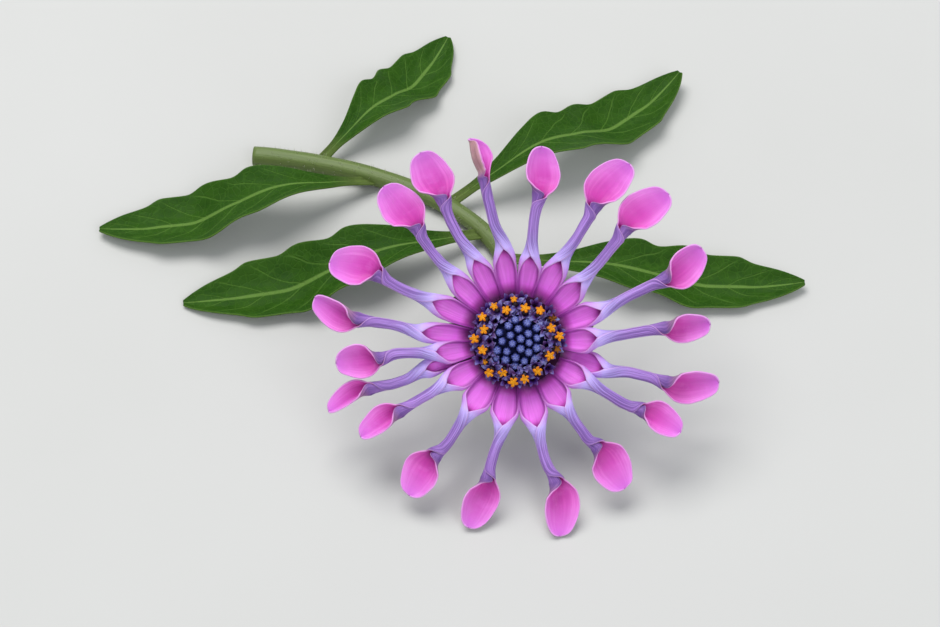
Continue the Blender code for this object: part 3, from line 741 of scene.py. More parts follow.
# Half the width of the window and of the tube. The spoon is wider on either side by a share of its own
# width there, from where it leaves the neck.
HALF_WIDTH = (
    ((0, 0.95), (0.2, 1.14), (0.41, 1.40), (0.6, 1.60), (0.76, 1.64), (0.9, 1.46), (1, 1.24)),
    ((0, 1.24), (0.12, 0.96), (0.28, 0.77), (0.5, 0.71), (0.8, 0.76), (0.92, 0.84), (1, 0.95)),
)
TUBE_END = HALF_WIDTH[1][-1][1]
MOUTH_SIDE = (
    (0, 0.47), (0.1, 0.72), (0.2, 0.90), (0.3, 0.98), (0.4, 1), (0.6, 0.92),
    (0.8, 0.74), (0.9, 0.59), (0.96, 0.41), (0.99, 0.215), (1, 0.04),
)
FOLDED_NECK = 0.76
FOLDED_MOUTH_SIDE = (
    (0, 0.42), (0.1, 0.50), (0.25, 0.70), (0.5, 1), (0.7, 0.93), (0.83, 0.72),
    (0.93, 0.42), (0.98, 0.20), (1, 0.08),
)
OTHER_SIDE = (
    (0, 0.45), (0.1, 0.53), (0.2, 0.69), (0.3, 0.87), (0.5, 1), (0.7, 0.90),
    (0.8, 0.80), (0.9, 0.63), (0.96, 0.43), (0.99, 0.225), (1, 0.04),
)
# The wall on the mouth's side is low, and the other stands up by what its width leaves of the strip
MOUTH_WALL = ((0, 0.90), (0.25, 0.78), (0.5, 0.66), (0.8, 0.44), (1, 0.16))
OTHER_WALL = ((0, 0.50), (0.2, 0.88), (0.4, 1.0), (0.65, 0.88), (0.85, 0.54), (1, 0.16))
WALL_STRIP = 3.1
WALL_STANDS = 0.85
WALL_HIGHEST = 2.1
# Shares of the spoon's length over which its other side widens and that wall rises
OTHER_WIDENS = 0.3
OTHER_RISES = 0.35
# How far the lapping edge stands off the tube, and the lapped one inside it. That starts where the
# two reach this far round together, and at this far round from the bottom, in degrees, and takes
# this many more to be full.
LAP_OUT = 0.12
LAP_IN = 0.10
LAP_TOGETHER = 300
LAP_EACH = 85
LAP_GROWS = 70
# The share of the tube past which it widens or narrows to the spoon's own neck
NECK_WIDENS = 0.76
# The lapping edge crosses over this many millimetres, and this many for each that the edges take
CROSSING = (0.9, 0.75)
# The folded wall leans in from this share of the length past the spoon's start, over this much more
# of it, and stands up again over this much before the tip
FOLD_STARTS = 0.030
FOLD_LEANS = 0.100
FOLD_ENDS = 0.055
# Petals with more room between them are wider beside the disc, within these limits. That fades out
# between these shares of the window's length.
ROOM = (0.82, 1.24)
ROOM_FADES = (0.7, 1.0)
# This is how wide some are towards the next petal (1) or the one before (-1)
OWN_ROOM = {
    (0, -1): 1.30, (10, 1): 1.16, (11, 1): 0.64, (11, -1): 0.64, (18, 1): 1.10, (18, -1): 0.88,
}
# How much closer the rows lie at both ends of the tube and the spoon
CROWDED = 0.4
PETAL_THICKNESS = 0.20
PETAL_UNEVEN = 0.07
PETAL_UNEVEN_PER_MM = 0.55
# How brown the backs of the spoons are. The folded one shows its back, and that is browner.
BRONZE = 0.45
FOLDED_BRONZE = 1.0
PETAL_COLUMNS = 30
PETAL_ROWS = 144


def attribute(shader, name):
    """The wire of one of a piece's attributes."""
    return add(shader.id_data, "Attribute", {}, "Fac", attribute_name=name)


def petal_strip(shader):
    """How far off the strip's middle a point of a petal lies, its share of the length, and a
    function for noise drawn out along the strip."""
    across, along = uv_place(shader)
    seed = attribute(shader, "seed")

    def grained(fine, drawn, detail=3.0):
        return streaks(across, along, fine, drawn, detail, 0.58, seed)

    return off_middle(across), along, grained


def petal_finish(shader, weight, radius):
    """Light soaks into a petal, and its cells give it a faint velvety sheen."""
    glow_through(shader, weight, radius)
    shader.inputs["Sheen Weight"].default_value = 0.10
    shader.inputs["Sheen Roughness"].default_value = 0.4


def petal_upper():
    """The upper side: dark purple by the disc and nearly black right beside it as painted shadow under
    the florets, magenta in the window, darkened at the window's tip and inside the tube as painted
    shade, deep in the spoon's throat as painted shade and paler at its tip and sides as painted light,
    with painted highlights along its rim and the window's edges, a painted shade line where the curled
    edges cover the window, and faint darker veins along it."""
    made, shader, place = new_material("petal_upper", 0.5, 0.35)
    off, along, grained = petal_strip(shader)
    fine, broad = grained(17.0, 2.2), grained(3.0, 14.0)
    # Painted shadow nearly black by the disc, painted shade at the window's tip, in the tube and deep in
    # the spoon's throat, and paler towards the spoon's tip as painted light
    middle = ramp(
        along,
        (0.0, (0.012, 0.002, 0.018)), (0.060, (0.05, 0.005, 0.06)), (0.096, (0.42, 0.040, 0.40)),
        (0.128, (0.82, 0.150, 0.84)), (0.16, (0.84, 0.185, 0.86)), (0.22, (0.90, 0.205, 0.90)),
        (0.256, (1.0, 0.225, 1.0)), (0.276, (0.98, 0.160, 0.92)), (0.296, (0.60, 0.060, 0.53)),
        (0.335, (0.20, 0.012, 0.16)), (0.60, (0.18, 0.012, 0.12)), (0.64, (0.38, 0.024, 0.26)),
        (0.70, (0.58, 0.036, 0.38)), (0.80, (0.65, 0.080, 0.50)), (0.90, (0.68, 0.138, 0.61)),
        (1.0, (0.61, 0.145, 0.66)),
    )
    # Paler towards the spoon's sides: painted light on its flared sides
    pale = ramp(
        along,
        (0.63, (0.50, 0.060, 0.36)), (0.70, (0.76, 0.130, 0.56)), (0.82, (0.84, 0.230, 0.74)),
        (1.0, (0.73, 0.225, 0.76)),
    )
    beside = step(off + (fine - 0.5) * 0.55, 0.12, 0.85) * step(along, 0.60, 0.66)
    tone = mix(beside, middle, pale)
    veins = step(fine, 0.62, 0.44) * step(along, 1.0, 0.60)
    tone = mix(veins * 0.22, tone, (0.42, 0.030, 0.36))
    tone = mix(step(broad, 0.5, 0.75) * 0.14, tone, (0.94, 0.34, 0.94))
    # Painted shade on the window's floor, in the crease under its curled edges
    crease = step(along, 0.34, 0.30) * step(attribute(shader, "shade_under_curl"), 0.66, 1.0)
    tone = mix(crease * 0.62, tone, (0.20, 0.012, 0.24))
    # The painted highlights below are weaker on the folded spoon, by its bronze
    plain = FOLDED_BRONZE + BRONZE - attribute(shader, "bronze")
    # A painted highlight along the spoon's rim
    rim = step(along, 0.68, 0.76) * plain * step(off, 0.80, 0.97)
    tone = mix(rim * 0.25, tone, (0.86, 0.36, 0.88))
    # A painted highlight along the window's edges
    edge = step(off, 0.985, 0.997) * step(along, 0.14, 0.28) * plain
    tone = mix(edge * 0.45, tone, (0.80, 0.46, 0.82))
    paint(shader, tone, fine * 0.6 + cloud(place, 5200.0) * 0.15, 0.07 * MM)
    petal_finish(shader, 0.20, (0.50, 0.12, 0.45))
    return made


def petal_under():
    """The underside: lilac with fine purple stripes along it, palest beside the window's tip, darkened
    at the neck as painted shade under the spoon's rim, with a painted shade line along the window's
    sides and a painted highlight along its edges, and duller behind the spoon, where it is tinged with
    bronze."""
    made, shader, place = new_material("petal_under", 0.5, 0.4)
    off, along, grained = petal_strip(shader)
    fine, hair, band = grained(36.0, 2.6), grained(95.0, 5.0), grained(8.0, 2.0, 2.0)
    # Nearly black at the foot, and darker at the neck as painted shade under the spoon's rim
    tone = ramp(
        along,
        (0.0, (0.03, 0.005, 0.05)), (0.10, (0.20, 0.020, 0.22)), (0.16, (0.46, 0.085, 0.50)),
        (0.22, (0.60, 0.190, 0.66)), (0.28, (0.63, 0.345, 0.86)), (0.33, (0.59, 0.455, 0.98)),
        (0.39, (0.55, 0.415, 0.94)), (0.46, (0.50, 0.285, 0.80)), (0.58, (0.45, 0.230, 0.70)),
        (0.645, (0.26, 0.115, 0.42)), (0.72, (0.34, 0.130, 0.42)), (0.80, (0.50, 0.190, 0.52)),
        (1.0, (0.66, 0.320, 0.68)),
    )
    from_tip = step(along, 0.30, 0.42)
    tone = mix(step(fine, 0.58, 0.40) * from_tip * 0.60, tone, (0.120, 0.040, 0.26))
    tone = mix(step(hair, 0.60, 0.42) * from_tip * 0.45, tone, (0.09, 0.040, 0.20))
    tone = mix(step(band, 0.50, 0.28) * from_tip * 0.34, tone, (0.13, 0.070, 0.32))
    brown = mix(step(fine, 0.62, 0.38), (0.58, 0.31, 0.35), (0.40, 0.20, 0.22))
    tone = mix(step(along, 0.645, 0.75) * attribute(shader, "bronze"), tone, brown)
    # A painted shade line along the window's sides, where the curled strip turns down
    line = step(along, 0.31, 0.26) * step(off, 0.56, 0.66) * step(off, 0.86, 0.70)
    tone = mix(line * 0.4, tone, (0.20, 0.030, 0.26))
    # A painted highlight along the window's curled edges
    edge = step(off, 0.93, 0.99) * step(along, 0.12, 0.26)
    tone = mix(edge * 0.40, tone, (0.78, 0.46, 0.84))
    paint(shader, tone, fine * 0.9 + cloud(place, 5200.0) * 0.15, 0.11 * MM)
    petal_finish(shader, 0.14, (0.35, 0.18, 0.45))
    return made


def petal_axis(petal, lower, reach):
    """The point of a petal's axis at a distance from the bloom's centre."""
    reaches = (PETAL_ROOT, petal.window_reach, TUBE_MIDDLE, petal.neck_reach, petal.tip_reach)
    directions = (petal.foot, petal.window, petal.tube, petal.neck, petal.tip)
    share = (reach - PETAL_ROOT) / (petal.tip_reach - PETAL_ROOT)
    below = lower * min(1.0, share / LOWEST_AT) * (1 - share)
    height = smooth(PETAL_LIFT, share) + below + petal.lift * share**2
    return polar(smooth(tuple(zip(reaches, directions)), reach), reach, height)


def spoon_sides(petal, share):
    """Half the width and the rise of a spoon, on the side of its mouth and on the other."""
    stands = min(WALL_HIGHEST, WALL_STANDS * math.sqrt(WALL_STRIP**2 - petal.other**2))
    neck = FOLDED_NECK if petal.leans else TUBE_END
    widens, rises = ease(share / OTHER_WIDENS), ease(share / OTHER_RISES)
    mouth_width = abs(petal.mouth) * smooth(FOLDED_MOUTH_SIDE if petal.leans else MOUTH_SIDE, share)
    other_width = neck + (petal.other * smooth(OTHER_SIDE, share) - neck) * widens
    other_rise = BOTTOM[2][0][1] * (1 - rises) + stands * smooth(OTHER_WALL, share) * rises
    return mouth_width, other_width, smooth(MOUTH_WALL, share), other_rise


def petal_row(petal, lower, along):
    """What shapes the strip at a share of its length: its axis and sides there, how deep it is, and
    for the lapping and the lapped edge half the width, the rise and how far round it reaches."""
    ends = (PETAL_ROOT, petal.window_reach, petal.neck_reach, petal.tip_reach)
    marks = (0.0, *PETAL_PARTS, 1.0)
    part = 0 if along < marks[1] else 1 if along < marks[2] else 2
    share = (along - marks[part]) / (marks[part + 1] - marks[part])
    if part > 0:
        share += CROWDED * (ease(share) - share)
    reach = ends[part] + share * (ends[part + 1] - ends[part])
    bottom = smooth(BOTTOM[part], share)
    lapping, lapped = smooth(LAPPING[part], share), smooth(LAPPED[part], share)
    if part == 2:
        past_neck = reach - petal.neck_reach
        opens = past_neck - petal.crosses * LAPPED_CROSSES[-1][0]
        crossed = smooth(LAPPED_CROSSES, past_neck / petal.crosses)
        lapped = max(lapped, crossed if opens < 0 else smooth(LAPPED_OPENS, opens))
        lapped = smooth(FOLDED_EDGE, share) if petal.leans else lapped
        mouth, other, mouth_rise, other_rise = spoon_sides(petal, share)
        mouth /= math.sin(math.radians(min(90, lapping)))
    else:
        mouth = other = smooth(HALF_WIDTH[part], share)
        mouth_rise = other_rise = bottom
    if part == 1:
        crossing = CROSSING[0] + CROSSING[1] * petal.crosses
        lapping = min(lapping, smooth(LAPPING_CROSSES, (reach - petal.neck_reach) / crossing))
        widened = ease((share - NECK_WIDENS) / (1 - NECK_WIDENS))
        mouth_neck, other_neck = spoon_sides(petal, 0)[:2]
        mouth += (mouth_neck - TUBE_END) * widened
        other += (other_neck - TUBE_END) * widened
    middle, ahead, behind = (petal_axis(petal, lower, reach + nudge) for nudge in (0, 0.05, -0.05))
    heading = (ahead - behind).normalized()
    level = Vector((0, 0, 1)).cross(heading).normalized()
    sides = (mouth, mouth_rise, lapping), (other, other_rise, lapped)
    return middle, level, heading.cross(level), bottom, *sides


def petal_piece(number, petal):
    """One petal, rolled from a strip."""
    lower = LOWER_PETALS.get(number, 0.0)
    # The edge on the side that the spoon's mouth is on laps over the other
    lap_side = 1 if petal.mouth > 0 else -1
    # How wide it is on either side, by the angle to the next petal there
    spread = {}
    for hand in (1, -1):
        beside = (number + hand) % len(PETALS)
        gap = abs((PETALS[beside][0] - petal.foot + 180) % 360 - 180)
        room = min(ROOM[1], max(ROOM[0], gap * len(PETALS) / 360))
        room = 1.0 if beside in LOWER_PETALS else room
        spread[hand * lap_side] = OWN_ROOM.get((number, hand), room)
    rows = {}

    def row(along):
        if along not in rows:
            rows[along] = petal_row(petal, lower, along)
        return rows[along]

    def point(across, along):
        middle, side, up, bottom, mouth, other = row(along)
        share = across * lap_side
        half_width, rise, reach = mouth if share > 0 else other
        faded = (along / PETAL_PARTS[0] - ROOM_FADES[0]) / (ROOM_FADES[1] - ROOM_FADES[0])
        half_width *= 1 + (1 - ease(faded)) * (spread[1 if share > 0 else -1] - 1)
        turn = share * reach
        closing = ease((mouth[2] + other[2] - LAP_TOGETHER) / LAP_GROWS)
        closing *= ease((abs(turn) - LAP_EACH) / LAP_GROWS)
        off = closing * (LAP_OUT if share > 0 else -LAP_IN)
        angle = math.radians(turn)
        aside = (half_width + off) * math.sin(angle)
        if share < 0 and along > PETAL_PARTS[1]:
            starts = ease((along - PETAL_PARTS[1] - FOLD_STARTS) / FOLD_LEANS)
            leans = petal.leans * starts * ease((1 - along) / FOLD_ENDS)
            aside += leans * (1 - math.cos(angle)) / 2
        height = rise * (1 - math.cos(angle)) - bottom - off * math.cos(angle)
        place = middle + side * lap_side * aside + up * height
        uneven = noise.noise_vector(place * PETAL_UNEVEN_PER_MM + Vector((number * 5.0, 0, 0)))
        return BLOOM @ (place + uneven * PETAL_UNEVEN * ease(along * 5))

    def shade_under_curl(across, along):
        """How near a point of the window's floor lies to where the curled edge covers it. It sets the
        painted shade under that edge.
        """
        reach = row(along)[4 if across * lap_side > 0 else 5][2]
        here = math.sin(math.radians(min(90.0, abs(across) * reach)))
        edge = math.sin(math.radians(min(179.0, reach)))
        return min(1.0, here / max(0.05, edge))

    piece = sheet(f"ray_petal_{number + 1:02d}", PETAL_COLUMNS, PETAL_ROWS, point)
    count = len(piece.data.vertices)
    steps = PETAL_COLUMNS + 1
    curl_shade_mask = [shade_under_curl(k % steps * 2 / PETAL_COLUMNS - 1, k // steps / PETAL_ROWS) for k in range(count)]
    bronze = FOLDED_BRONZE if petal.leans else BRONZE
    for name, values in (
        ("seed", [number * 3.7] * count), ("bronze", [bronze] * count), ("shade_under_curl", curl_shade_mask),
    ):
        piece.data.attributes.new(name, "FLOAT", "POINT").data.foreach_set("value", values)
    piece.data.materials.append(PETAL_UNDER)
    piece.data.materials.append(PETAL_UPPER)
    modifier(
        piece, "SOLIDIFY", thickness=PETAL_THICKNESS * MM, offset=-1,
        material_offset=1, material_offset_rim=1, use_even_offset=False,
    )
    keep(piece, "petal", "ray_petals")


PETAL_UPPER, PETAL_UNDER = petal_upper(), petal_under()
# Unseeded, the noise that moves the vertices of petals and florets would differ from run to run
noise.seed_set(7)
for number, row in enumerate(PETALS):
    petal_piece(number, Petal(*row))


# The disc is a low dome, painted dark indigo to nearly black as the shade between its florets. It is
# packed
# with closed florets in crossing spirals: slate-blue buds, each with five folded lobes that meet in a
# star at its top.
DOME_SIDES = 48
DOME_ROWS = 16
# Radius and height of the dome, from its rim to its top
DOME = ((4.45, -0.3), (4.2, 0.35), (3.4, 0.85), (2.5, 1.3), (1.3, 1.62), (0.02, 1.72))
# How far to the right and up from the middle each bud stands
BUDS = (
    (-0.30, 2.60), (1.20, 2.20), (-1.15, 1.85), (0.10, 1.45), (2.40, 1.55), (-2.30, 1.00),
    (-0.90, 0.65), (1.35, 0.85), (-1.95, -0.10), (0.40, 0.20), (2.45, 0.30), (-0.65, -0.40),
    (1.45, -0.30), (-2.55, -1.25), (-1.35, -1.40), (0.40, -1.05), (2.40, -0.95), (1.40, -1.50),
    (-0.25, -2.15), (-1.50, -2.40), (0.85, -2.60), (2.20, -2.25), (-2.70, -2.25), (-0.30, -3.20),
)
BUD_RADIUS = 0.60
BUD_HEIGHT = 1.3
BUD_WIDTHS = ((0, 0.62), (0.35, 1.0), (0.6, 0.98), (0.8, 0.72), (0.93, 0.34), (1, 0.03))
BUD_HEIGHTS = ((0, -0.3), (0.35, 0.35), (0.6, 0.72), (0.8, 0.95), (0.93, 1.0), (1, 0.93))
BUD_CREASE = 0.26
BUD_SIDES = 30
BUD_ROWS = 12
# How high a bud in the middle of the dome stands, how much lower others do by the square of their
# distance from it, and by how many degrees they lean out for each millimetre of that distance
BUD_STANDS = 1.62
BUD_DROPS = 0.1
BUD_LEAN = 5
BUD_SCALES = (0.94, 1.06)
# A form with five lobes looks the same again after a turn of this many degrees
FIFTH = 72


# The disc's tissue, painted nearly black as the shade between and under its florets
def disc_dark(name, deep, light):
    made, shader, place = new_material(name, 0.8, 0.1)
    paint(shader, mix(cloud(place, 1200.0, 3.0), deep, light), cloud(place, 2600.0), 0.1 * MM)
    return made


def bud_blue():
    """Slate blue, paler on the tops of the folded lobes as painted highlight, darker low down and nearly
    black in the creases as painted shade.
    """
    made, shader, place = new_material("bud_blue", 0.36, 0.45)
    crown, lobe = uv_place(shader, "lobes")
    mottle = cloud(place, 2400.0, 3.0)
    # Dark at the foot and pale at the top: painted shade and painted highlight
    tone = ramp(
        crown,
        (0.0, (0.003, 0.004, 0.030)), (0.42, (0.012, 0.018, 0.11)), (0.66, (0.030, 0.045, 0.23)),
        (0.82, (0.085, 0.110, 0.40)), (1.0, (0.22, 0.26, 0.66)),
    )
    # Painted shade in the creases between the lobes
    tone = mix(step(lobe, 0.75, 0.20) * 0.85, tone, (0.008, 0.011, 0.075))
    tone = mix(mottle * 0.18, tone, (0.13, 0.12, 0.42))
    paint(shader, tone, mottle, 0.06 * MM)
    glow_through(shader, 0.10, (0.15, 0.2, 0.5))
    return made


def stand(direction, reach, height, lean, spin=0.0, scale=1.0):
    """The matrix that stands a floret on the face, leaning outwards."""
    turn = Matrix.Rotation(math.radians(direction), 4, "Z") @ Matrix.Translation((reach, 0, height))
    lean_out = Matrix.Rotation(math.radians(lean), 4, "Y")
    return turn @ lean_out @ Matrix.Rotation(math.radians(spin), 4, "Z") @ Matrix.Scale(scale, 4)


def turned_lobes(name, sides, rows, point, lobes=5):
    """A closed form that stands on its foot, with a second map that says how far up a point lies
    and how far it is from the crease between two lobes."""
    piece = sheet(name, sides, rows, lambda across, along: point(180 * across, along))
    made = piece.data.uv_layers.new(name="lobes")
    first = piece.data.uv_layers[0]
    for corner in range(len(piece.data.loops)):
        across, along = first.data[corner].uv
        made.data[corner].uv = (along, abs(math.sin(math.pi * lobes * across)))
    close_seam(piece)
    return piece


def copies(original, places, name):
    """Copies of a piece, each with its own mesh and put in place, joined in one piece."""
    made = []
    for place in places:
        copy = original.copy()
        copy.data = original.data.copy()
        bpy.context.scene.collection.objects.link(copy)
        copy.data.transform(place)
        made.append(copy)
    bpy.data.objects.remove(original)
    return join(made, name)


def bud_point(direction, along):
    """A bud: its sides bulge, five creases run up it, and its lobes fold in to a small dip."""
    off_crease = abs(math.sin(math.radians(direction * 2.5)))
    creased = 1 - BUD_CREASE * (1 - ease(off_crease * 1.4)) * ease(along * 2.2)
    reach = BUD_RADIUS * smooth(BUD_WIDTHS, along) * creased
    return polar(direction, reach, BUD_HEIGHT * smooth(BUD_HEIGHTS, along))


def turned(name, sides, rows, profile):
    """A wall turned round the bloom's axis, from its profile's radii and heights."""

    def point(across, along):
        return BLOOM @ polar(180 * across, *rows_at(profile, along))

    piece = sheet(name, sides, rows, point)
    close_seam(piece)
    return piece


dome = turned("disc_dome", DOME_SIDES, DOME_ROWS, DOME)
# Painted nearly black, as the shade between the buds
dome.data.materials.append(disc_dark("dome_navy", (0.003, 0.003, 0.022), (0.012, 0.014, 0.075)))
keep(dome, "bud_floret", "closed_florets")
draw = random.Random(5)
bud_places = []
for right, upward in BUDS:
    reach, direction = math.hypot(right, upward), math.degrees(math.atan2(upward, right))
    spin, scale = draw.uniform(0, FIFTH), draw.uniform(*BUD_SCALES)
    height = BUD_STANDS - BUD_DROPS * reach**2
    bud_places.append(BLOOM @ stand(direction, reach, height, BUD_LEAN * reach, spin, scale))
buds = copies(turned_lobes("bud", BUD_SIDES, BUD_ROWS, bud_point), bud_places, "closed_florets_buds")
buds.data.materials.append(bud_blue())
keep(buds, "bud_floret")


# Round the buds stand the florets that have begun to open and the ones in flower. Each is a violet
# tube with five pointed lobes. In an open one the lobes spread, a nearly black column of anthers
# stands in its throat, and the column pushes out a star of orange pollen.
HALF_OPEN = 17
HALF_OPEN_REACH = 3.85
HALF_OPEN_STANDS = 0.35
HALF_OPEN_LEANS = (4, 16)
HALF_OPEN_SIZE = 0.9
HALF_OPEN_LIT = (0.25, 0.75)
# Direction and distance from the centre of each open floret's pollen, how large its star is, and how
# bright: three are old and brown
OPEN_FLORETS = (
    (4.8, 5.85, 1.0, 1.0), (21.2, 5.0, 1.0, 1.0), (33.8, 5.8, 0.85, 0.15), (51.8, 5.2, 1.0, 1.0),
    (75.7, 4.6, 1.05, 1.0), (93.8, 5.75, 0.8, 0.9), (112.2, 4.5, 1.0, 1.0), (123.5, 5.75, 0.9, 0.9),
    (145.5, 5.85, 1.0, 1.0), (161.1, 4.9, 1.0, 1.0), (178.9, 6.0, 1.05, 1.0), (196.7, 5.0, 1.05, 1.0),
    (214.6, 5.45, 0.65, 0.7), (228.3, 5.95, 1.0, 1.0), (245.8, 4.95, 1.0, 1.0), (264.7, 5.75, 1.05, 1.0),
    (281.3, 5.4, 1.0, 1.0), (301.7, 5.1, 1.0, 1.0), (334.4, 4.9, 1.05, 1.0), (348.5, 5.7, 0.8, 0.25),
)
OPEN_LEANS = (18.0, 26.0)
OPEN_STANDS = (0.1, 0.4)
OPEN_LIT = (0.45, 0.95)
# Those that aren't brighter than this are old, and have sunk
OLD = 0.8
OLD_STANDS = -0.15
# Open florets further apart than this, in degrees, have one between them that is given little painted
# light, so that it is dark as in shade
FILLED_GAP = 15.0
FILLER_REACH = (5.1, 5.5)
FILLER_STANDS = -0.1
FILLER_LEANS = (14, 26)
FILLER_LIT = (0.0, 0.35)
# How far a lobe leans out, its length and half its width, on a half-open floret and on one in flower
HALF_OPEN_LOBE = (32.0, 1.15, 0.35)
OPEN_LOBE = (74.0, 1.36, 0.41)
LOBE_WIDTHS = ((0, 0.62), (0.3, 1.0), (0.65, 0.72), (0.9, 0.28), (1, 0.05))
# How far a lobe bows up along its middle, how far its edges stand up, and the share of both that
# draws it back
LOBE_BOWS = 0.16
LOBE_CUPS = 0.10
LOBE_HOOKS = 0.3
# Radius of a floret's tube at its foot, and its height and radius where the lobes start
TUBE_FOOT = 0.18
RING_HEIGHT = 0.85
RING_RADIUS = 0.34
FLORET_THICKNESS = 0.06
ANTHER_RIDGES = 0.12
ANTHER_WIDTHS = ((0, 0.22), (0.5, 0.36), (0.85, 0.39), (1, 0.04))
POLLEN_WIDTHS = ((0, 0.12), (0.25, 0.6), (0.5, 1.0), (0.75, 0.86), (1, 0.02))
POLLEN_HEIGHTS = ((0, -0.35), (0.25, -0.16), (0.5, 0.0), (0.75, 0.20), (1, 0.24))
# The star's radius between its arms, how much further they reach, and how much higher they are
POLLEN_MIDDLE = 0.27
POLLEN_ARM = 0.43
POLLEN_ARM_RISE = 0.10
POLLEN_HEIGHT = 1.85
POLLEN_OFFSET = 0.42
# Radius and height of the dark ring that the open florets stand on, from its edge inwards. Its dark is
# painted shade under the florets.
RIM = ((6.15, -0.25), (6.05, 0.0), (5.2, 0.2), (4.3, 0.4))
RIM_THICKNESS = 0.15
RIM_SIDES = 64
RIM_ROWS = 10


def corolla_violet():
    """A dark violet tube, whose lobes pale to lilac blue at their points. Each copy is mixed between a
    shaded and a lit tone by its share of painted light.
    """
    made, shader, place = new_material("corolla_violet", 0.42, 0.4)
    along = uv_place(shader)[1]
    mottle = cloud(place, 1500.0, 3.0)
    dark = ramp(
        along,
        (0.0, (0.012, 0.002, 0.024)), (0.45, (0.050, 0.006, 0.085)), (0.65, (0.052, 0.013, 0.15)),
        (1.0, (0.12, 0.070, 0.33)),
    )
    pale = ramp(
        along, (0.5, (0.05, 0.012, 0.14)), (0.68, (0.09, 0.075, 0.31)), (1.0, (0.32, 0.36, 0.76)),
    )
    tone = mix(attribute(shader, "lit"), dark, pale)
    tone = mix(step(mottle, 0.42, 0.60) * 0.60, tone, (0.10, 0.011, 0.075))
    paint(shader, tone, mottle, 0.08 * MM)
    glow_through(shader, 0.15, (0.2, 0.15, 0.5))
    return made


def anther_black():
    made, shader, place = new_material("anther_black", 0.45, 0.3)
    paint(shader, mix(cloud(place, 2200.0), (0.004, 0.002, 0.006), (0.030, 0.010, 0.018)))
    return made


def pollen_orange():
    """Bright orange grains, browner low down and between the arms of the star as painted shade, and
    brown on old ones.
    """
    made, shader, place = new_material("pollen_orange", 0.75, 0.2)
    crown, arm = uv_place(shader, "lobes")
    grains = add(place.tree, "TexVoronoi", {"Vector": place, "Scale": 7500.0}, "Distance")
    # Dark low down and bright at the top: painted shade and painted light
    tone = ramp(
        crown,
        (0.0, (0.10, 0.012, 0.003)), (0.30, (0.42, 0.060, 0.002)), (0.55, (1.0, 0.30, 0.004)),
        (1.0, (1.0, 0.50, 0.018)),
    )
    # Painted shade between the arms of the star
    tone = mix(step(arm, 0.75, 1.0) * 0.5, tone, (0.50, 0.08, 0.003))
    tone = mix(step(grains, 0.35, 0.6) * 0.3, tone, (0.75, 0.14, 0.003))
    tone = mix(attribute(shader, "lit"), (0.09, 0.022, 0.006), tone)
    paint(shader, tone, 1.0 - grains, 0.12 * MM)
    return made


def lobe_point(spread, length, half_width):
    """The point function of one lobe of a floret: pointed, cupped and a little hooked. It leans out
    from the floret's axis by spread, in degrees."""
    lean = math.radians(spread)

    def point(across, along):
        width = half_width * smooth(LOBE_WIDTHS, along)
        out = length * along
        rise = LOBE_BOWS * math.sin(math.pi * along) + LOBE_CUPS * across**2
        reach = RING_RADIUS - 0.04 + out * math.sin(lean) - rise * math.cos(lean) * LOBE_HOOKS
        height = RING_HEIGHT - 0.06 + out * math.cos(lean) + rise * math.sin(lean)
        return Vector((reach, across * width, height))

    return point


def floret(name, spread, length, half_width):
    """A tube with five lobes. The map of a lobe starts halfway, where that of the tube ends."""

    def tube_point(across, along):
        reach = TUBE_FOOT + (RING_RADIUS - TUBE_FOOT) * along**0.7
        return polar(180 * across, reach, RING_HEIGHT * along)

    tube = sheet(name, 20, 5, tube_point)
    close_seam(tube)
    for corner in tube.data.uv_layers[0].data:
        corner.uv.y *= 0.5
    parts = [tube]
    for k in range(5):
        lobe = sheet("lobe", 4, 7, lobe_point(spread, length, half_width))
        for corner in lobe.data.uv_layers[0].data:
            corner.uv.y = 0.5 + corner.uv.y * 0.5
        lobe.data.transform(Matrix.Rotation(math.radians(FIFTH * k), 4, "Z"))
        parts.append(lobe)
    made = join(parts, name)
    modifier(made, "SOLIDIFY", thickness=FLORET_THICKNESS, offset=0)
    return made


def pollen_point(direction, along):
    """A star of pollen: five blunt arms round a low middle."""
    arm = abs(math.cos(math.radians(direction * 2.5))) ** 0.9
    reach = smooth(POLLEN_WIDTHS, along) * (POLLEN_MIDDLE + POLLEN_ARM * arm)
    raised = POLLEN_ARM_RISE * arm * ease(along * 2) * ease((1 - along) * 3)
    return polar(direction, reach, smooth(POLLEN_HEIGHTS, along) + raised)


def anther_point(direction, along):
    """The column of anthers, which stand in five ridges."""
    ridge = 1 + ANTHER_RIDGES * math.cos(math.radians(direction * 5))
    height = RING_HEIGHT - 0.5 + (POLLEN_HEIGHT - RING_HEIGHT + 0.35) * along
    return polar(direction, smooth(ANTHER_WIDTHS, along) * ridge, height)


def lit_copies(original, places, name, shares):
    """Copies of a piece whose vertices carry the share of light that its colour follows."""
    count = len(original.data.vertices)
    made = copies(original, places, name)
    values = made.data.attributes.new("lit", "FLOAT", "POINT")
    values.data.foreach_set("value", [share for share in shares for _ in range(count)])
    return made


def roughened(piece, size, depth):
    """Moves a piece's vertices a little by noise, so that no two copies in it are alike."""
    for vertex in piece.data.vertices:
        vertex.co += noise.noise_vector(vertex.co / (size * MM)) * depth * MM
    return piece


rim = turned("disc_rim", RIM_SIDES, RIM_ROWS, RIM)
modifier(rim, "SOLIDIFY", thickness=RIM_THICKNESS * MM, offset=0)
# Painted nearly black, as the shade under the open florets
rim.data.materials.append(disc_dark("rim_purple", (0.008, 0.001, 0.010), (0.040, 0.005, 0.032)))
keep(rim, "open_floret", "open_florets")

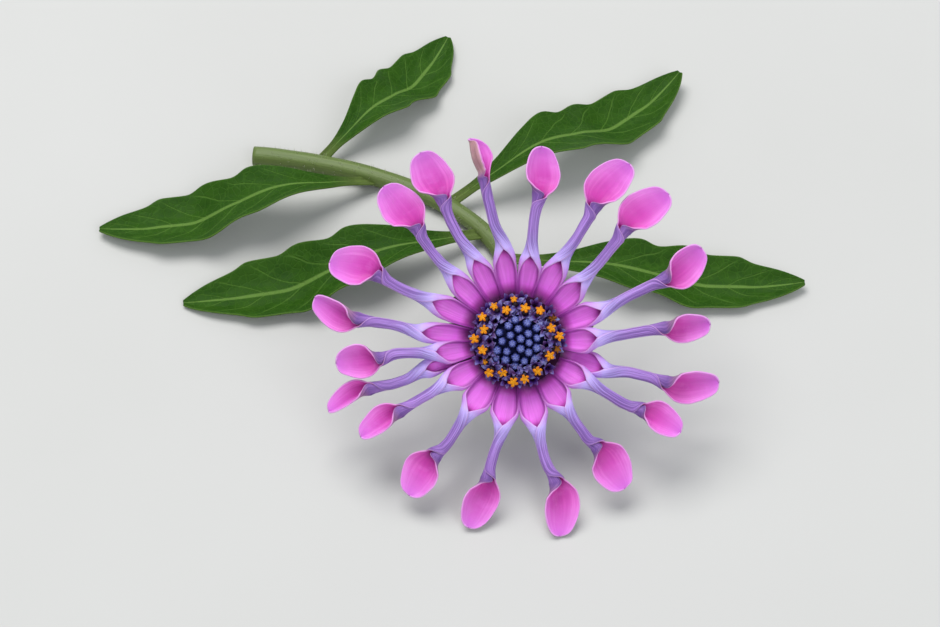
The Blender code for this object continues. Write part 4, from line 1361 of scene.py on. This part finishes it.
draw = random.Random(5)
inner_places, inner_shares = [], []
for k in range(HALF_OPEN):
    direction = 360 * (k + draw.uniform(0.3, 0.6)) / HALF_OPEN
    reach = HALF_OPEN_REACH + draw.uniform(-0.2, 0.2)
    lean, spin = draw.uniform(*HALF_OPEN_LEANS), draw.uniform(0, FIFTH)
    place = stand(direction, reach, HALF_OPEN_STANDS, lean, spin, HALF_OPEN_SIZE)
    inner_places.append(BLOOM @ place)
    inner_shares.append(draw.uniform(*HALF_OPEN_LIT))
# Where two open florets stand well apart, one given little painted light, dark as in shade, fills the
# room between them
for (before, *_), (after, *_) in zip(OPEN_FLORETS, OPEN_FLORETS[1:] + OPEN_FLORETS[:1]):
    gap = (after - before) % 360
    if gap > FILLED_GAP:
        reach, lean = draw.uniform(*FILLER_REACH), draw.uniform(*FILLER_LEANS)
        spin = draw.uniform(0, FIFTH)
        inner_places.append(BLOOM @ stand(before + gap / 2, reach, FILLER_STANDS, lean, spin))
        inner_shares.append(draw.uniform(*FILLER_LIT))
outer_places, outer_shares, pollen_places, pollen_shares = [], [], [], []
for direction, reach, size, brightness in OPEN_FLORETS:
    lean = draw.uniform(*OPEN_LEANS)
    foot = reach - math.sin(math.radians(lean)) * POLLEN_HEIGHT - POLLEN_OFFSET
    height = draw.uniform(*OPEN_STANDS) if brightness > OLD else OLD_STANDS
    place = stand(direction, foot, height, lean, draw.uniform(-30, 30))
    outer_places.append(BLOOM @ place)
    outer_shares.append(draw.uniform(*OPEN_LIT))
    star = Matrix.Translation((POLLEN_OFFSET, 0, POLLEN_HEIGHT - 0.15)) @ Matrix.Scale(size, 4)
    pollen_places.append(BLOOM @ place @ star @ Matrix.Rotation(draw.uniform(0, 6.3), 4, "Z"))
    pollen_shares.append(brightness)
inner = floret("inner_florets", *HALF_OPEN_LOBE)
inner = lit_copies(inner, inner_places, "inner_florets", inner_shares)
outer = floret("outer_florets", *OPEN_LOBE)
outer = lit_copies(outer, outer_places, "outer_florets", outer_shares)
corollas = roughened(join([inner, outer], "floret_corollas"), size=0.5, depth=0.07)
corollas.data.materials.append(corolla_violet())
keep(corollas, "open_floret")
anthers = copies(turned_lobes("anther", 20, 8, anther_point), outer_places, "floret_anthers")
anthers = roughened(anthers, size=0.3, depth=0.05)
anthers.data.materials.append(anther_black())
keep(anthers, "open_floret")
pollen = turned_lobes("pollen", 40, 12, pollen_point)
pollen = lit_copies(pollen, pollen_places, "floret_pollen", pollen_shares)
pollen = roughened(pollen, size=0.30, depth=0.13)
pollen.data.materials.append(pollen_orange())
keep(pollen, "open_floret")


# The stage is a plain pale floor under soft daylight, and the camera looks straight into the face
# of the bloom, aimed so that it stands right of the middle and a little low, as in the photograph.
CAMERA_DISTANCE = 400 * MM
SENSOR = 36.0
# The photograph's width and height, what one of its pixels measures, and where the bloom's middle is
PICTURE = (940, 627)
PIXEL = 0.1375 * MM
BLOOM_PIXEL = (517.5, 340.5)
LIGHT_AIM = Vector((0, -0.01, 0))


def floor_pale():
    made, shader, place = new_material("floor_pale", 0.9, 0.2)
    paint(shader, mix(cloud(place, 14.0, 4.0), (0.56, 0.56, 0.545), (0.61, 0.61, 0.60)))
    return made


def area_light(name, place, size, power, colour):
    bpy.ops.object.light_add(type="AREA", location=place)
    light = bpy.context.object
    light.name = name
    light.data.shape = "DISK"
    light.data.size = size
    light.data.energy = power
    light.data.color = colour
    light.rotation_euler = (Vector(place) - LIGHT_AIM).to_track_quat("Z", "Y").to_euler()


bpy.ops.mesh.primitive_plane_add(size=3.0)
floor = bpy.context.object
floor.name = "floor"
floor.data.materials.append(floor_pale())

area_light("sky", (-0.15, 0.22, 0.75), 0.6, 5.1, (1.0, 0.99, 0.97))
area_light("fill", (0.35, -0.55, 0.5), 0.5, 1.9, (0.95, 0.97, 1.0))
world = bpy.data.worlds.new("daylight")
world.use_nodes = True
world.node_tree.nodes["Background"].inputs[0].default_value = (0.92, 0.96, 1.0, 1.0)
world.node_tree.nodes["Background"].inputs[1].default_value = 0.51
bpy.context.scene.world = world
bpy.context.scene.view_settings.view_transform = "Standard"

face = BLOOM.to_3x3().normalized()
right, upward, outward = (face @ Vector(axis) for axis in ((1, 0, 0), (0, 1, 0), (0, 0, 1)))
camera_place = CENTRE + outward * CAMERA_DISTANCE
aim = (
    CENTRE
    + right * (PICTURE[0] / 2 - BLOOM_PIXEL[0]) * PIXEL
    + upward * (BLOOM_PIXEL[1] - PICTURE[1] / 2) * PIXEL
)
bpy.ops.object.camera_add(location=camera_place)
camera = bpy.context.object
back = (camera_place - aim).normalized()
across = upward.cross(back).normalized()
camera.rotation_euler = Matrix((across, back.cross(across), back)).transposed().to_euler()
camera.data.sensor_width = SENSOR
camera.data.lens = SENSOR * CAMERA_DISTANCE / (PICTURE[0] * PIXEL)
camera.data.clip_start = 0.01
bpy.context.scene.camera = camera
